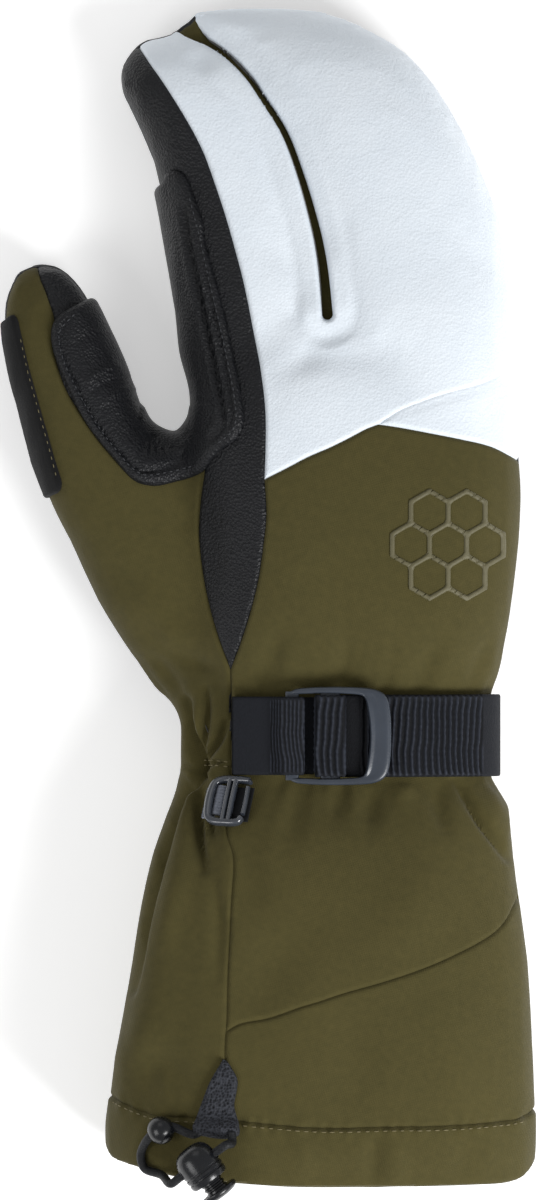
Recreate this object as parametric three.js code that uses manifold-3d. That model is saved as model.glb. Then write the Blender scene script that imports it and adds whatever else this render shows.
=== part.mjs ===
// Insulated glove for the right hand with a separate index finger, a mitten for the other
// three fingers and a long cuff. It lies palm down. Millimetres, +Z up, fingers towards +Y.
import * as THREE from 'three';
import { mergeVertices } from 'three/addons/utils/BufferGeometryUtils.js';
import Module from 'manifold-3d';

const wasm = await Module();
wasm.setup();

// Sizes of the glove
const CUFF_LENGTH = 134.1;
const CUFF_WIDTH = 129.3;
const CUFF_HEIGHT = 62;
const HAND_LENGTH = 220;
const PALM_WIDTH = 97.8;
const HAND_HEIGHT = 52;
const THUMB_LENGTH = 131.7;
const THUMB_WIDTH = 50;
const THUMB_HEIGHT = 34;
const THUMB_LEAN = 22.4;
const WALL = 4;
const SEAM_GAP = 0.3;
const PATCH_THICKNESS = 1.3;
const PRINT_THICKNESS = 0.6;

// Sizes of the wrist strap and its buckle
const WEBBING_WIDTH = 24;
const WEBBING_THICKNESS = 1.4;
const CLEARANCE = 0.3;
const BAR_HEIGHT = 2.4;
const END_BAR_WIDTH = 4;
const MIDDLE_BAR_WIDTH = 6;
const BUCKLE_LENGTH = 31.4;
const RAIL_WIDTH = 1.8;
const LEVER_WIDTH = 8.4;
const LEVER_HEIGHT = 3.2;

// Sizes of the hook on the cuff
const HOOK_LENGTH = 15.6;
const HOOK_WIDTH = 12.6;
const HOOK_THICKNESS = 2.6;
const HOOK_BAR = 1.6;

// Sizes of the cord, its bead and its lock
const CORD_DIAMETER = 2.6;
const BEAD_DIAMETER = 8.4;
const LOCK_DIAMETER = 12.4;
const LOCK_LENGTH = 12;
const STEM_DIAMETER = 7;
const BUTTON_THICKNESS = 2.4;
const BUTTON_TRAVEL = 3;
const CORD_HOLE = CORD_DIAMETER + 2.4 * CLEARANCE;
const CORD_STEPS = 25;

// Number of flats round a section and how square its top and its sole are
const SIDES = 20;
const INNER_SIDES = 14;
const TOP_ROUND = 2.5;
const SOLE_ROUND = 4;

// Sections of the cuff from the mouth to the wrist
// along: share of CUFF_LENGTH, centre and width: share of CUFF_WIDTH,
// low and high: share of CUFF_HEIGHT
const CUFF_SECTIONS = [
  [0.000, -0.022, 0.986, -0.016, 0.952],
  [0.105, -0.022, 1.000, -0.016, 1.000],
  [0.228, -0.016, 0.984, -0.016, 1.000],
  [0.485, -0.002, 0.923, -0.016, 0.968],
  [0.620, 0.002, 0.886, -0.016, 0.935],
  [0.732, 0.007, 0.845, -0.016, 0.887],
  [0.808, 0.013, 0.805, 0.000, 0.831],
  [0.859, 0.019, 0.775, 0.016, 0.774],
  [0.893, 0.017, 0.735, 0.032, 0.729],
];

// Sections of the hand from the wrist to the roots of the fingers
// along: share of HAND_LENGTH, centre and width: share of PALM_WIDTH,
// low and high: share of HAND_HEIGHT
const HAND_SECTIONS = [
  [-0.056, 0.014, 0.942, 0.048, 0.846],
  [0.070, 0.015, 0.939, 0.048, 0.846],
  [0.083, 0.035, 0.948, 0.038, 0.869],
  [0.123, 0.049, 0.957, 0.019, 0.923],
  [0.191, 0.072, 0.972, -0.019, 0.981],
  [0.327, 0.086, 1.000, -0.019, 1.000],
  [0.423, 0.071, 1.012, -0.019, 0.962],
  [0.560, 0.058, 0.990, -0.019, 0.790],
  [0.584, 0.057, 0.970, 0.019, 0.660],
];

// Outline past the roots, in the same shares, that the seams are traced on
const FINGER_OUTLINE = [
  [0.655, 0.031, 1.025],
  [0.736, -0.006, 1.018],
  [0.818, -0.069, 1.003],
  [0.859, -0.118, 0.991],
  [0.900, -0.170, 0.954],
  [0.927, -0.193, 0.871],
  [0.955, -0.207, 0.727],
  [0.975, -0.204, 0.543],
  [0.993, -0.193, 0.337],
  [1.000, -0.181, 0.129],
];

// Sections of the mitten and of the index finger, in the shares of the hand
const MITTEN_SECTIONS = [
  [0.409, 0.298, 0.521, 0.038, 0.904],
  [0.491, 0.287, 0.537, 0.000, 0.894],
  [0.570, 0.288, 0.553, -0.019, 0.865],
  [0.682, 0.252, 0.557, -0.019, 0.788],
  [0.791, 0.183, 0.543, -0.019, 0.731],
  [0.845, 0.128, 0.523, -0.010, 0.692],
  [0.880, 0.082, 0.511, 0.000, 0.654],
  [0.914, 0.021, 0.509, 0.015, 0.606],
  [0.941, -0.046, 0.509, 0.038, 0.548],
  [0.961, -0.115, 0.488, 0.067, 0.481],
  [0.979, -0.175, 0.448, 0.106, 0.413],
  [0.991, -0.202, 0.356, 0.154, 0.346],
  [0.999, -0.206, 0.153, 0.202, 0.279],
];
const INDEX_SECTIONS = [
  [0.409, -0.221, 0.380, 0.038, 0.808],
  [0.491, -0.224, 0.399, 0.000, 0.808],
  [0.570, -0.233, 0.427, -0.019, 0.788],
  [0.682, -0.273, 0.423, -0.019, 0.731],
  [0.784, -0.331, 0.406, -0.019, 0.673],
  [0.814, -0.357, 0.408, -0.019, 0.654],
  [0.852, -0.403, 0.405, -0.010, 0.625],
  [0.886, -0.446, 0.394, 0.000, 0.587],
  [0.911, -0.459, 0.351, 0.019, 0.538],
  [0.933, -0.472, 0.278, 0.048, 0.462],
  [0.948, -0.483, 0.206, 0.096, 0.375],
  [0.957, -0.482, 0.129, 0.163, 0.288],
];

// Sections of the thumb from its root
// along: share of THUMB_LENGTH, centre and width: share of THUMB_WIDTH,
// low and high: share of THUMB_HEIGHT
const THUMB_SECTIONS = [
  [-0.106, 0.080, 0.440, 0.118, 0.882],
  [0.000, 0.060, 0.740, 0.000, 0.960],
  [0.203, 0.020, 0.900, -0.029, 1.059],
  [0.406, 0.002, 0.968, -0.029, 1.044],
  [0.605, -0.078, 0.712, -0.029, 0.971],
  [0.754, -0.084, 0.608, -0.015, 0.897],
  [0.850, -0.056, 0.536, 0.000, 0.838],
  [0.894, -0.048, 0.492, 0.029, 0.794],
  [0.942, -0.036, 0.400, 0.088, 0.721],
  [0.977, -0.024, 0.272, 0.176, 0.618],
  [0.996, -0.012, 0.136, 0.279, 0.500],
];

// Place of the thumb's root: across share of PALM_WIDTH, along share of CUFF_LENGTH
const THUMB_ROOT = [-0.383, 1.157];

// Seams on the hand and cuff
// across: share of the half width there, along: 0 at the mouth, 1 at the wrist, 2 at the tip
const WHITE_EDGE = [
  [-1.075, 1.952], [-0.895, 1.934], [-0.736, 1.900], [-0.720, 1.845], [-0.722, 1.794],
  [-0.713, 1.743], [-0.666, 1.682], [-0.634, 1.614], [-0.605, 1.545], [-0.565, 1.491],
  [-0.539, 1.423], [-0.569, 1.348],
];
const WEDGE_RIGHT = [[-0.569, 1.348], [-0.579, 1.286], [-0.611, 1.220], [-0.681, 1.136], [-0.722, 1.106]];
const WEDGE_LEFT = [[-0.722, 1.106], [-0.811, 1.154], [-0.893, 1.205], [-0.938, 1.259], [-0.924, 1.375]];
const CROTCH = [
  [-0.924, 1.375], [-0.984, 1.387], [-1.032, 1.408], [-1.046, 1.434], [-1.057, 1.490],
  [-1.104, 1.560], [-1.245, 1.645], [-1.409, 1.805], [-2.841, 1.982],
];
const THUMB_ROOT_SEAM = [
  [-0.924, 1.375], [-0.945, 1.314], [-0.950, 1.191], [-0.933, 1.055], [-0.993, 1.000],
];
const SIDE_SEAM = [
  [-0.722, 1.106], [-0.679, 1.055], [-0.668, 0.911], [-0.560, 0.752], [-0.508, 0.530],
  [-0.482, 0.387], [-0.472, 0.300], [-0.438, 0.161],
];
const POINTED_SEAM = [
  [-0.569, 1.348], [-0.282, 1.379], [0.152, 1.428], [0.465, 1.415], [0.765, 1.404], [1.060, 1.380],
];
const KNUCKLE_SEAM = [[0.152, 1.428], [0.410, 1.455], [0.655, 1.476], [1.060, 1.508]];
const SLANTING_SEAM = [
  [-0.480, 0.349], [-0.419, 0.367], [-0.134, 0.409], [0.427, 0.490], [0.675, 0.535],
  [0.845, 0.575], [0.947, 0.615], [1.060, 0.655],
];
const HEM_SEAM = [
  [-1.100, 0.220], [-0.887, 0.186], [-0.758, 0.172], [-0.438, 0.161], [-0.020, 0.148],
  [0.656, 0.150], [0.927, 0.161], [1.100, 0.190],
];
const SLIT = [
  [-1.068, 1.976], [-0.522, 1.959], [-0.286, 1.935], [-0.159, 1.904], [-0.136, 1.875],
  [-0.118, 1.829], [-0.116, 1.772], [-0.112, 1.641], [-0.126, 1.575], [-0.127, 1.548],
];

// Seams on the thumb, across: share of THUMB_WIDTH, along: share of THUMB_LENGTH
const THUMB_EDGE = [
  [0.034, 1.060], [-0.021, 0.967], [-0.030, 0.916], [-0.033, 0.872], [-0.083, 0.826],
  [-0.124, 0.771], [-0.131, 0.710], [-0.099, 0.644], [-0.052, 0.567], [0.002, 0.510],
  [0.064, 0.478], [0.166, 0.452], [0.316, 0.441], [0.463, 0.433],
];
const GRIP_OUTLINE = [
  [0.197, 0.881], [0.047, 0.875], [-0.026, 0.866], [-0.091, 0.837], [-0.120, 0.792],
  [-0.130, 0.735], [-0.115, 0.654], [-0.075, 0.571], [-0.027, 0.519], [0.032, 0.466],
  [0.118, 0.437], [0.266, 0.424], [0.451, 0.427], [0.568, 0.421], [0.668, 0.442],
  [0.736, 0.481], [0.801, 0.577], [0.872, 0.714], [0.944, 0.858], [0.974, 0.969],
  [1.004, 1.038], [0.978, 1.074], [0.916, 1.089], [0.755, 1.084], [0.433, 0.967],
];
const WIPE_OUTLINE = [
  [-0.377, 0.926], [-0.248, 0.913], [-0.249, 0.877], [-0.280, 0.788], [-0.322, 0.671],
  [-0.348, 0.582], [-0.366, 0.518], [-0.429, 0.496], [-0.582, 0.510], [-0.586, 0.757],
];

// Woven tab at the hem and the print's centre, in the shares of the seams on the hand and cuff
const TAB_OUTLINE = [
  [-0.478, 0.302], [-0.395, 0.246], [-0.404, 0.217], [-0.413, 0.154], [-0.574, 0.168], [-0.537, 0.246],
];
const PRINT_CENTRE = [0.565, 1.266];
const PRINT_CELL = 6.4;
const PRINT_LINE = 1.5;

const radians = (degrees) => (degrees * Math.PI) / 180;

// Sections in millimetres: where they lie along the glove and how far they reach
function inMillimetres(rows, start, length, width, height) {
  return rows.map(([along, centre, share, low = 0, high = 0]) => ({
    along: start + along * length,
    centre: centre * width,
    half: (share * width) / 2,
    low: low * height,
    high: high * height,
  }));
}

const cuffRows = inMillimetres(CUFF_SECTIONS, 0, CUFF_LENGTH, CUFF_WIDTH, CUFF_HEIGHT);
const handRows = inMillimetres(HAND_SECTIONS, CUFF_LENGTH, HAND_LENGTH, PALM_WIDTH, HAND_HEIGHT);
const outlineRows = inMillimetres(FINGER_OUTLINE, CUFF_LENGTH, HAND_LENGTH, PALM_WIDTH, HAND_HEIGHT);
const mittenRows = inMillimetres(MITTEN_SECTIONS, CUFF_LENGTH, HAND_LENGTH, PALM_WIDTH, HAND_HEIGHT);
const indexRows = inMillimetres(INDEX_SECTIONS, CUFF_LENGTH, HAND_LENGTH, PALM_WIDTH, HAND_HEIGHT);
const thumbRows = inMillimetres(THUMB_SECTIONS, 0, THUMB_LENGTH, THUMB_WIDTH, THUMB_HEIGHT);
const bodyRows = [...cuffRows, ...handRows];
const planRows = [...bodyRows, ...outlineRows];

// Value of one column of a table of sections at a place along the glove
function sectionAt(rows, along) {
  let next = rows.findIndex((row) => row.along > along);
  if (next < 0) {
    next = rows.length - 1;
  }
  next = Math.max(next, 1);
  const from = rows[next - 1];
  const to = rows[next];
  const share = Math.min(Math.max((along - from.along) / (to.along - from.along), 0), 1);
  const mix = (name) => from[name] + (to[name] - from[name]) * share;
  return { along, centre: mix('centre'), half: mix('half'), low: mix('low'), high: mix('high') };
}

// Point in plan of a place on the hand or cuff
function onGlove([across, along]) {
  const y = along < 1 ? along * CUFF_LENGTH : CUFF_LENGTH + (along - 1) * HAND_LENGTH;
  const section = sectionAt(planRows, y);
  return new THREE.Vector2(section.centre + across * section.half, y);
}

// Point in plan of a place on the thumb
const thumbOrigin = new THREE.Vector2(THUMB_ROOT[0] * PALM_WIDTH, THUMB_ROOT[1] * CUFF_LENGTH);
const thumbAlong = new THREE.Vector2(-Math.sin(radians(THUMB_LEAN)), Math.cos(radians(THUMB_LEAN)));
const thumbAcross = new THREE.Vector2(Math.cos(radians(THUMB_LEAN)), Math.sin(radians(THUMB_LEAN)));
function onThumb([across, along]) {
  return thumbOrigin.clone()
    .addScaledVector(thumbAcross, across * THUMB_WIDTH)
    .addScaledVector(thumbAlong, along * THUMB_LENGTH);
}

// Closed solid from a three.js geometry, with its faces turned outwards
function solid(geometry) {
  let closed = geometry.clone();
  closed.deleteAttribute('normal');
  closed.deleteAttribute('uv');
  closed = mergeVertices(closed, 1e-4);
  const points = closed.getAttribute('position').array;
  const corners = closed.index.array;
  const triangles = [];
  let volume = 0;
  const a = new THREE.Vector3();
  const b = new THREE.Vector3();
  const c = new THREE.Vector3();
  for (let i = 0; i < corners.length; i += 3) {
    const [p, q, r] = [corners[i], corners[i + 1], corners[i + 2]];
    if (p !== q && q !== r && r !== p) {
      triangles.push([p, q, r]);
      a.fromArray(points, 3 * p);
      b.fromArray(points, 3 * q);
      c.fromArray(points, 3 * r);
      volume += a.dot(b.cross(c));
    }
  }
  const outward = volume < 0 ? triangles.map(([p, q, r]) => [p, r, q]) : triangles;
  return new wasm.Manifold(new wasm.Mesh({
    numProp: 3,
    vertProperties: Float32Array.from(points),
    triVerts: Uint32Array.from(outward.flat()),
  }));
}

// Points round one section, with the wall taken off where inset is over zero
function ringOf(row, inset, place) {
  const points = [];
  const middle = (row.low + row.high) / 2;
  const halfHeight = (row.high - row.low) / 2 - inset;
  const sides = inset > 0 ? INNER_SIDES : SIDES;
  for (let i = 0; i < sides; i += 1) {
    const angle = (2 * Math.PI * i) / sides;
    const round = Math.sin(angle) >= 0 ? TOP_ROUND : SOLE_ROUND;
    const across = Math.sign(Math.cos(angle)) * Math.abs(Math.cos(angle)) ** (2 / round);
    const up = Math.sign(Math.sin(angle)) * Math.abs(Math.sin(angle)) ** (2 / round);
    points.push(place(row.centre + across * (row.half - inset), row.along, middle + up * halfHeight));
  }
  return points;
}

// Closed tube through rings of points, capped at both ends
function tube(rings) {
  const count = rings[0].length;
  const positions = rings.flat().flatMap((point) => [point.x, point.y, point.z]);
  const indices = [];
  for (let row = 0; row + 1 < rings.length; row += 1) {
    for (let i = 0; i < count; i += 1) {
      const here = row * count + i;
      const beside = row * count + ((i + 1) % count);
      indices.push(here, beside, here + count, beside, beside + count, here + count);
    }
  }
  for (const row of [0, rings.length - 1]) {
    const middle = new THREE.Vector3();
    rings[row].forEach((point) => middle.addScaledVector(point, 1 / count));
    const centre = positions.length / 3;
    positions.push(middle.x, middle.y, middle.z);
    for (let i = 0; i < count; i += 1) {
      const pair = [row * count + i, row * count + ((i + 1) % count)];
      indices.push(centre, ...(row === 0 ? pair.reverse() : pair));
    }
  }
  const geometry = new THREE.BufferGeometry();
  geometry.setAttribute('position', new THREE.Float32BufferAttribute(positions, 3));
  geometry.setIndex(indices);
  return solid(geometry);
}

// Tube through a table of sections, moved inwards by inset at its sides and by tip at its end
function limb(rows, inset, tip, place) {
  const kept = rows.filter((row) => row.half - inset > 1.5 && (row.high - row.low) / 2 - inset > 1.5);
  const last = kept.length - 1;
  const moved = kept.map((row, i) => (i === last ? { ...row, along: row.along - tip } : row));
  return tube(moved.map((row) => ringOf(row, inset, place)));
}

const straight = (x, y, z) => new THREE.Vector3(x, y, z);
const leaning = (x, y, z) => new THREE.Vector3(
  thumbOrigin.x + thumbAcross.x * x + thumbAlong.x * y,
  thumbOrigin.y + thumbAcross.y * x + thumbAlong.y * y,
  z,
);

// The whole glove as one solid, moved inwards or outwards
function gloveForm(inset) {
  const openRows = inset > 0 ? [{ ...bodyRows[0], along: -10 }, ...bodyRows] : bodyRows;
  const tip = Math.max(inset, 0);
  return limb(openRows, inset, tip, straight)
    .add(limb(mittenRows, inset, 0, straight))
    .add(limb(indexRows, inset, 0, straight))
    .add(limb(thumbRows, inset, 0, leaning));
}

// Upright block over an outline in plan
function block(outline, bottom, top) {
  const geometry = new THREE.ExtrudeGeometry(new THREE.Shape(outline), {
    depth: top - bottom,
    bevelEnabled: false,
  });
  geometry.translate(0, 0, bottom);
  return solid(geometry);
}

// Outline of a line with a thickness, each side moved along the mean direction of its two legs
function thickLine(points, thickness) {
  const left = [];
  const right = [];
  points.forEach((point, i) => {
    const before = points[Math.max(i - 1, 0)];
    const after = points[Math.min(i + 1, points.length - 1)];
    const into = i > 0 ? point.clone().sub(before).normalize() : after.clone().sub(point).normalize();
    const out = i + 1 < points.length ? after.clone().sub(point).normalize() : into.clone();
    const side = new THREE.Vector2(-(into.y + out.y), into.x + out.x).normalize();
    const stretch = thickness / 2 / Math.max(side.dot(new THREE.Vector2(-into.y, into.x)), 0.5);
    left.push(point.clone().addScaledVector(side, stretch));
    right.push(point.clone().addScaledVector(side, -stretch));
  });
  return [...left, ...right.reverse()];
}

const TOP_LIMIT = 120;
const FLOOR = 0;
const FAR = 400;
const far = (x, y) => new THREE.Vector2(x, y);

// Gap along a seam, cut through the wall
function seamCut(points) {
  return block(thickLine(points, SEAM_GAP), -20, TOP_LIMIT);
}

// Block between two heights that follow the sections of a table
function sideBlock(rows, lowShare, highShare, shift) {
  const lower = rows.map((row) => far(row.along, row.low + (row.high - row.low) * lowShare + shift));
  const upper = rows.map((row) => far(row.along, row.low + (row.high - row.low) * highShare + shift));
  if (lowShare < -1) {
    lower.forEach((point) => point.setY(-20));
  }
  if (highShare > 2) {
    upper.forEach((point) => point.setY(TOP_LIMIT));
  }
  const geometry = new THREE.ExtrudeGeometry(new THREE.Shape([...lower, ...upper.reverse()]), {
    depth: 2 * FAR,
    bevelEnabled: false,
  });
  // The outline's first axis becomes Y, its second Z and the depth X
  geometry.applyMatrix4(new THREE.Matrix4().makeBasis(
    new THREE.Vector3(0, 1, 0),
    new THREE.Vector3(0, 0, 1),
    new THREE.Vector3(1, 0, 0),
  ));
  geometry.translate(-FAR, 0, 0);
  return solid(geometry);
}

// Wall of the glove, with a flat sole
const sole = block([far(-FAR, -FAR), far(FAR, -FAR), far(FAR, FAR), far(-FAR, FAR)], -20, FLOOR);
const wall = gloveForm(0).subtract(gloveForm(WALL)).subtract(sole);

const group = new THREE.Group();
const colours = {
  white: [0xdae4ee, 0.55],
  olive: [0x514a31, 0.85],
  leather: [0x26272b, 0.5],
  suede: [0x242424, 0.95],
  webbing: [0x22242a, 0.8],
  plastic: [0x40464f, 0.4],
  print: [0x5a5640, 0.5],
  cord: [0x2a2c31, 0.7],
};

const pieces = [];
function addPiece(name, manifold, kind) {
  pieces.push({ name, manifold, kind });
}

const glove = (line) => line.map(onGlove);
const thumb = (line) => line.map(onThumb);
const reversed = (line) => [...line].reverse();

const whiteEdge = glove(WHITE_EDGE);
const wedgeRight = glove(WEDGE_RIGHT);
const wedgeLeft = glove(WEDGE_LEFT);
const crotch = glove(CROTCH);
const rootSeam = glove(THUMB_ROOT_SEAM);
const sideSeam = glove(SIDE_SEAM);
const pointedSeam = glove(POINTED_SEAM);
const knuckleSeam = glove(KNUCKLE_SEAM);
const slantingSeam = glove(SLANTING_SEAM);
const hemSeam = glove(HEM_SEAM);
const slit = glove(SLIT);
const thumbEdge = thumb(THUMB_EDGE);
const wristAt = CUFF_LENGTH;
const upperSide = sideSeam.filter((point) => point.y > wristAt);
const lowerSide = sideSeam.filter((point) => point.y < wristAt);
const wristCorner = onGlove([-0.676, 1]);
const slantStart = onGlove([-0.478, 0.352]);
const hemStart = onGlove([-0.438, 0.161]);
const sideAbove = lowerSide.filter((point) => point.y > slantStart.y);
const sideBelow = lowerSide.filter((point) => point.y < slantStart.y);
const hemLeft = hemSeam.filter((point) => point.x <= hemStart.x);
const hemRight = hemSeam.filter((point) => point.x >= hemStart.x);
const thumbTop = onThumb([0.034, 1.2]);

// The thumb's edge always ends at the start of the crotch: its points follow it more the nearer they are
const toCrotch = crotch[0].clone().sub(thumbEdge.at(-1));
thumbEdge.forEach((point, i) => point.addScaledVector(toCrotch, ((i + 1) / thumbEdge.length) ** 2));

// Places beyond the tips where the outlines of the panels close
const pastIndex = whiteEdge[0].x - 1.5 * WALL;
const pastCrotch = crotch.at(-1).x;

// Outlines of the panels of the upper half
const outlines = {
  leather_back: [
    far(pastIndex, FAR), ...whiteEdge, ...pointedSeam.slice(1, 3), ...knuckleSeam.slice(1),
    far(FAR, knuckleSeam.at(-1).y), far(FAR, FAR),
  ],
  knuckle_panel: [
    ...knuckleSeam, far(FAR, knuckleSeam.at(-1).y), far(FAR, pointedSeam.at(-1).y),
    ...reversed(pointedSeam.slice(2)),
  ],
  index_side: [
    far(pastIndex, FAR), ...whiteEdge, ...wedgeRight.slice(1), ...wedgeLeft.slice(1), ...crotch.slice(1),
    far(pastCrotch - THUMB_WIDTH / 2, FAR),
  ],
  hand_back: [
    ...pointedSeam, far(FAR, pointedSeam.at(-1).y), far(FAR, wristAt), wristCorner,
    ...reversed(upperSide), ...reversed(wedgeRight.slice(1, 4)),
  ],
  thumb_back: [
    thumbTop, ...thumbEdge.slice(0, -1), crotch[0], ...reversed(wedgeLeft.slice(0, -1)), ...upperSide.slice(1),
    wristCorner, far(-FAR, wristAt), far(-FAR, thumbTop.y),
  ],
  thumb_front: [
    thumbTop, ...thumbEdge.slice(0, -1), ...crotch,
    far(pastCrotch + THUMB_WIDTH / 2, FAR), far(thumbTop.x, FAR),
  ],
  cuff_back_upper: [
    wristCorner, far(FAR, wristAt), far(FAR, slantingSeam.at(-1).y), ...reversed(slantingSeam.slice(1)),
    slantStart, ...reversed(sideAbove),
  ],
  cuff_back_lower: [
    slantStart, ...slantingSeam.slice(1), far(FAR, slantingSeam.at(-1).y), far(FAR, hemSeam.at(-1).y),
    ...reversed(hemRight.slice(1)), hemStart, ...reversed(sideBelow.slice(0, -1)),
  ],
  cuff_side: [
    wristCorner, ...sideAbove, slantStart, ...sideBelow.slice(0, -1), hemStart,
    ...reversed(hemLeft.slice(0, -1)), far(-FAR, hemSeam[0].y), far(-FAR, wristAt),
  ],
};
const wristLine = [far(-FAR, wristAt), wristCorner, far(FAR, wristAt)];
const seams = [
  [far(pastIndex, FAR), ...whiteEdge, ...wedgeRight.slice(1), ...upperSide.slice(1), wristCorner, ...lowerSide],
  [...pointedSeam, far(FAR / 2, pointedSeam.at(-1).y)],
  [...knuckleSeam, far(FAR / 2, knuckleSeam.at(-1).y)],
  [...wedgeLeft.slice(0, -1), ...crotch],
  [thumbTop, ...thumbEdge.slice(0, -1), crotch[0]],
  wristLine,
  [slantStart, ...slantingSeam.slice(1), far(FAR / 2, slantingSeam.at(-1).y)],
];
const hemLine = [far(-FAR / 2, hemSeam[0].y), ...hemSeam, far(FAR / 2, hemSeam.at(-1).y)];
const topCuts = [...seams, hemLine].map(seamCut).reduce((all, one) => all.add(one));
const soleCuts = [[...reversed(crotch), ...rootSeam.slice(1), onGlove([-1.1, 0.99])], wristLine, hemLine]
  .map(seamCut).reduce((all, one) => all.add(one));

// The hand parts into an upper and a lower half at mid height, the thumb at its own mid height
const thumbSide = block(
  [
    ...reversed(crotch), ...rootSeam.slice(1), far(-PALM_WIDTH * 0.6, wristAt),
    far(-FAR, wristAt), far(-FAR, FAR),
  ],
  -20,
  TOP_LIMIT,
);
const splitRows = [
  { ...bodyRows[0], along: -20 },
  ...bodyRows.filter((row) => row.along < CUFF_LENGTH + 0.4 * HAND_LENGTH),
  { ...mittenRows[3] },
  { ...mittenRows[8] },
  { ...mittenRows[11] },
  { ...mittenRows[11], along: FAR },
];
const thumbSplit = [
  { along: -20, low: 0, high: THUMB_HEIGHT },
  { along: FAR, low: 0, high: THUMB_HEIGHT * 0.92 },
];
const upperHalf = sideBlock(splitRows, 0.47, 9, SEAM_GAP / 2).subtract(thumbSide)
  .add(sideBlock(thumbSplit, 0.5, 9, SEAM_GAP / 2).intersect(thumbSide));
const lowerHalf = sideBlock(splitRows, -9, 0.47, -SEAM_GAP / 2).subtract(thumbSide)
  .add(sideBlock(thumbSplit, -9, 0.5, -SEAM_GAP / 2).intersect(thumbSide));

// Side strip in the slit between the index finger and the mitten
const slitLine = slit.map((point) => point.clone());
const slitBand = block(thickLine(slitLine, 3.2 * WALL), -20, TOP_LIMIT);
const slitHole = block(thickLine(slitLine, 3.2 * WALL + 2 * SEAM_GAP), -20, TOP_LIMIT);
const gussetRows = mittenRows.slice(0, 12);
gussetRows.push({ ...gussetRows[11], along: FAR });
const gussetBand = sideBlock(gussetRows, 0.2, 0.66, 0).intersect(slitBand);
const gussetHole = sideBlock(gussetRows, 0.2, 0.66, 0);
const gussetRoom = gussetHole.add(sideBlock(gussetRows, 0.6, 0.66, SEAM_GAP))
  .add(sideBlock(gussetRows, 0.2, 0.3, -SEAM_GAP)).intersect(slitHole);
addPiece('slit_gusset', wall.intersect(gussetBand), 'olive');

const upperWall = wall.intersect(upperHalf).subtract(topCuts).subtract(gussetRoom);
const lowerWall = wall.intersect(lowerHalf).subtract(soleCuts).subtract(gussetRoom);
const kinds = {
  leather_back: 'white',
  knuckle_panel: 'white',
  index_side: 'leather',
  thumb_front: 'leather',
};
const hemBand = block([far(-FAR, -FAR), far(FAR, -FAR), ...reversed(hemLine)], -20, TOP_LIMIT);
for (const [name, outline] of Object.entries(outlines)) {
  addPiece(name, upperWall.intersect(block(outline, -20, TOP_LIMIT)), kinds[name] ?? 'olive');
}
const handPlan = [far(-FAR, wristAt), far(FAR, wristAt), far(FAR, FAR), far(-FAR, FAR)];
const wristBlock = block(handPlan, -20, TOP_LIMIT);
addPiece('palm', lowerWall.intersect(wristBlock).subtract(thumbSide), 'leather');
addPiece('thumb_palm', lowerWall.intersect(wristBlock).intersect(thumbSide), 'leather');
addPiece('cuff_palm', lowerWall.subtract(wristBlock).subtract(hemBand), 'olive');
addPiece('cuff_hem', wall.intersect(hemBand).subtract(seamCut(hemLine)), 'olive');

// Layers that lie on the wall: their inner faces keep a small gap, their outer faces their thickness
const gapForm = gloveForm(-CLEARANCE);
const patchForm = gloveForm(-CLEARANCE - PATCH_THICKNESS).subtract(gapForm);
const printForm = gloveForm(-CLEARANCE - PRINT_THICKNESS).subtract(gapForm);
const overThumbMiddle = THUMB_HEIGHT * 0.42;
addPiece('grip_patch', patchForm.intersect(block(thumb(GRIP_OUTLINE), overThumbMiddle, TOP_LIMIT)), 'leather');
addPiece('nose_wipe', patchForm.intersect(block(thumb(WIPE_OUTLINE), overThumbMiddle, TOP_LIMIT)), 'suede');
const tabBlock = block(glove(TAB_OUTLINE), CUFF_HEIGHT / 2, TOP_LIMIT);
addPiece('cord_tab', patchForm.intersect(tabBlock), 'webbing');

// Honeycomb print: one middle cell and six round it, all sharing their lines
const printCentre = onGlove(PRINT_CENTRE);
let print = null;
for (let cell = 0; cell < 7; cell += 1) {
  const turn = radians(60 * cell);
  const reach = cell === 0 ? 0 : Math.sqrt(3) * PRINT_CELL;
  const middle = far(printCentre.x + reach * Math.cos(turn), printCentre.y + reach * Math.sin(turn));
  const ringAt = (radius) => [0, 1, 2, 3, 4, 5].map((corner) => {
    const angle = radians(60 * corner + 30);
    return far(middle.x + radius * Math.cos(angle), middle.y + radius * Math.sin(angle));
  });
  const outer = block(ringAt(PRINT_CELL + PRINT_LINE / 2), HAND_HEIGHT / 2, TOP_LIMIT);
  const inner = block(ringAt(PRINT_CELL - PRINT_LINE / 2), HAND_HEIGHT / 2, TOP_LIMIT);
  const hexagon = outer.subtract(inner);
  print = print === null ? hexagon : print.add(hexagon);
}
addPiece('back_print', printForm.intersect(print), 'print');

// Wrist strap. Its line follows the section under it at a distance from the wall.
const strapRow = sectionAt(bodyRows, CUFF_LENGTH);
const strapAt = CUFF_LENGTH + 1.5;
const strapMiddle = (strapRow.low + strapRow.high) / 2;
const strapUp = (strapRow.high - strapRow.low) / 2;
const crown = strapRow.high;
function wristPoint(angle, distance) {
  const at = (a) => far(
    strapRow.centre + Math.sign(Math.cos(a)) * Math.abs(Math.cos(a)) ** (2 / TOP_ROUND) * strapRow.half,
    strapMiddle + Math.abs(Math.sin(a)) ** (2 / TOP_ROUND) * strapUp,
  );
  const point = at(angle);
  const tangent = at(angle + 0.01).sub(at(angle - 0.01)).normalize();
  return point.add(far(tangent.y * distance, -tangent.x * distance));
}
// Points over the wrist between two places across it, at one distance
function overWrist(fromX, toX, distance) {
  const line = [];
  for (let degrees = 5; degrees <= 175; degrees += 5) {
    const point = wristPoint(radians(degrees), distance);
    if (point.x > Math.min(fromX, toX) && point.x < Math.max(fromX, toX)) {
      line.push(point);
    }
  }
  return fromX < toX ? line.reverse() : line;
}
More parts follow.
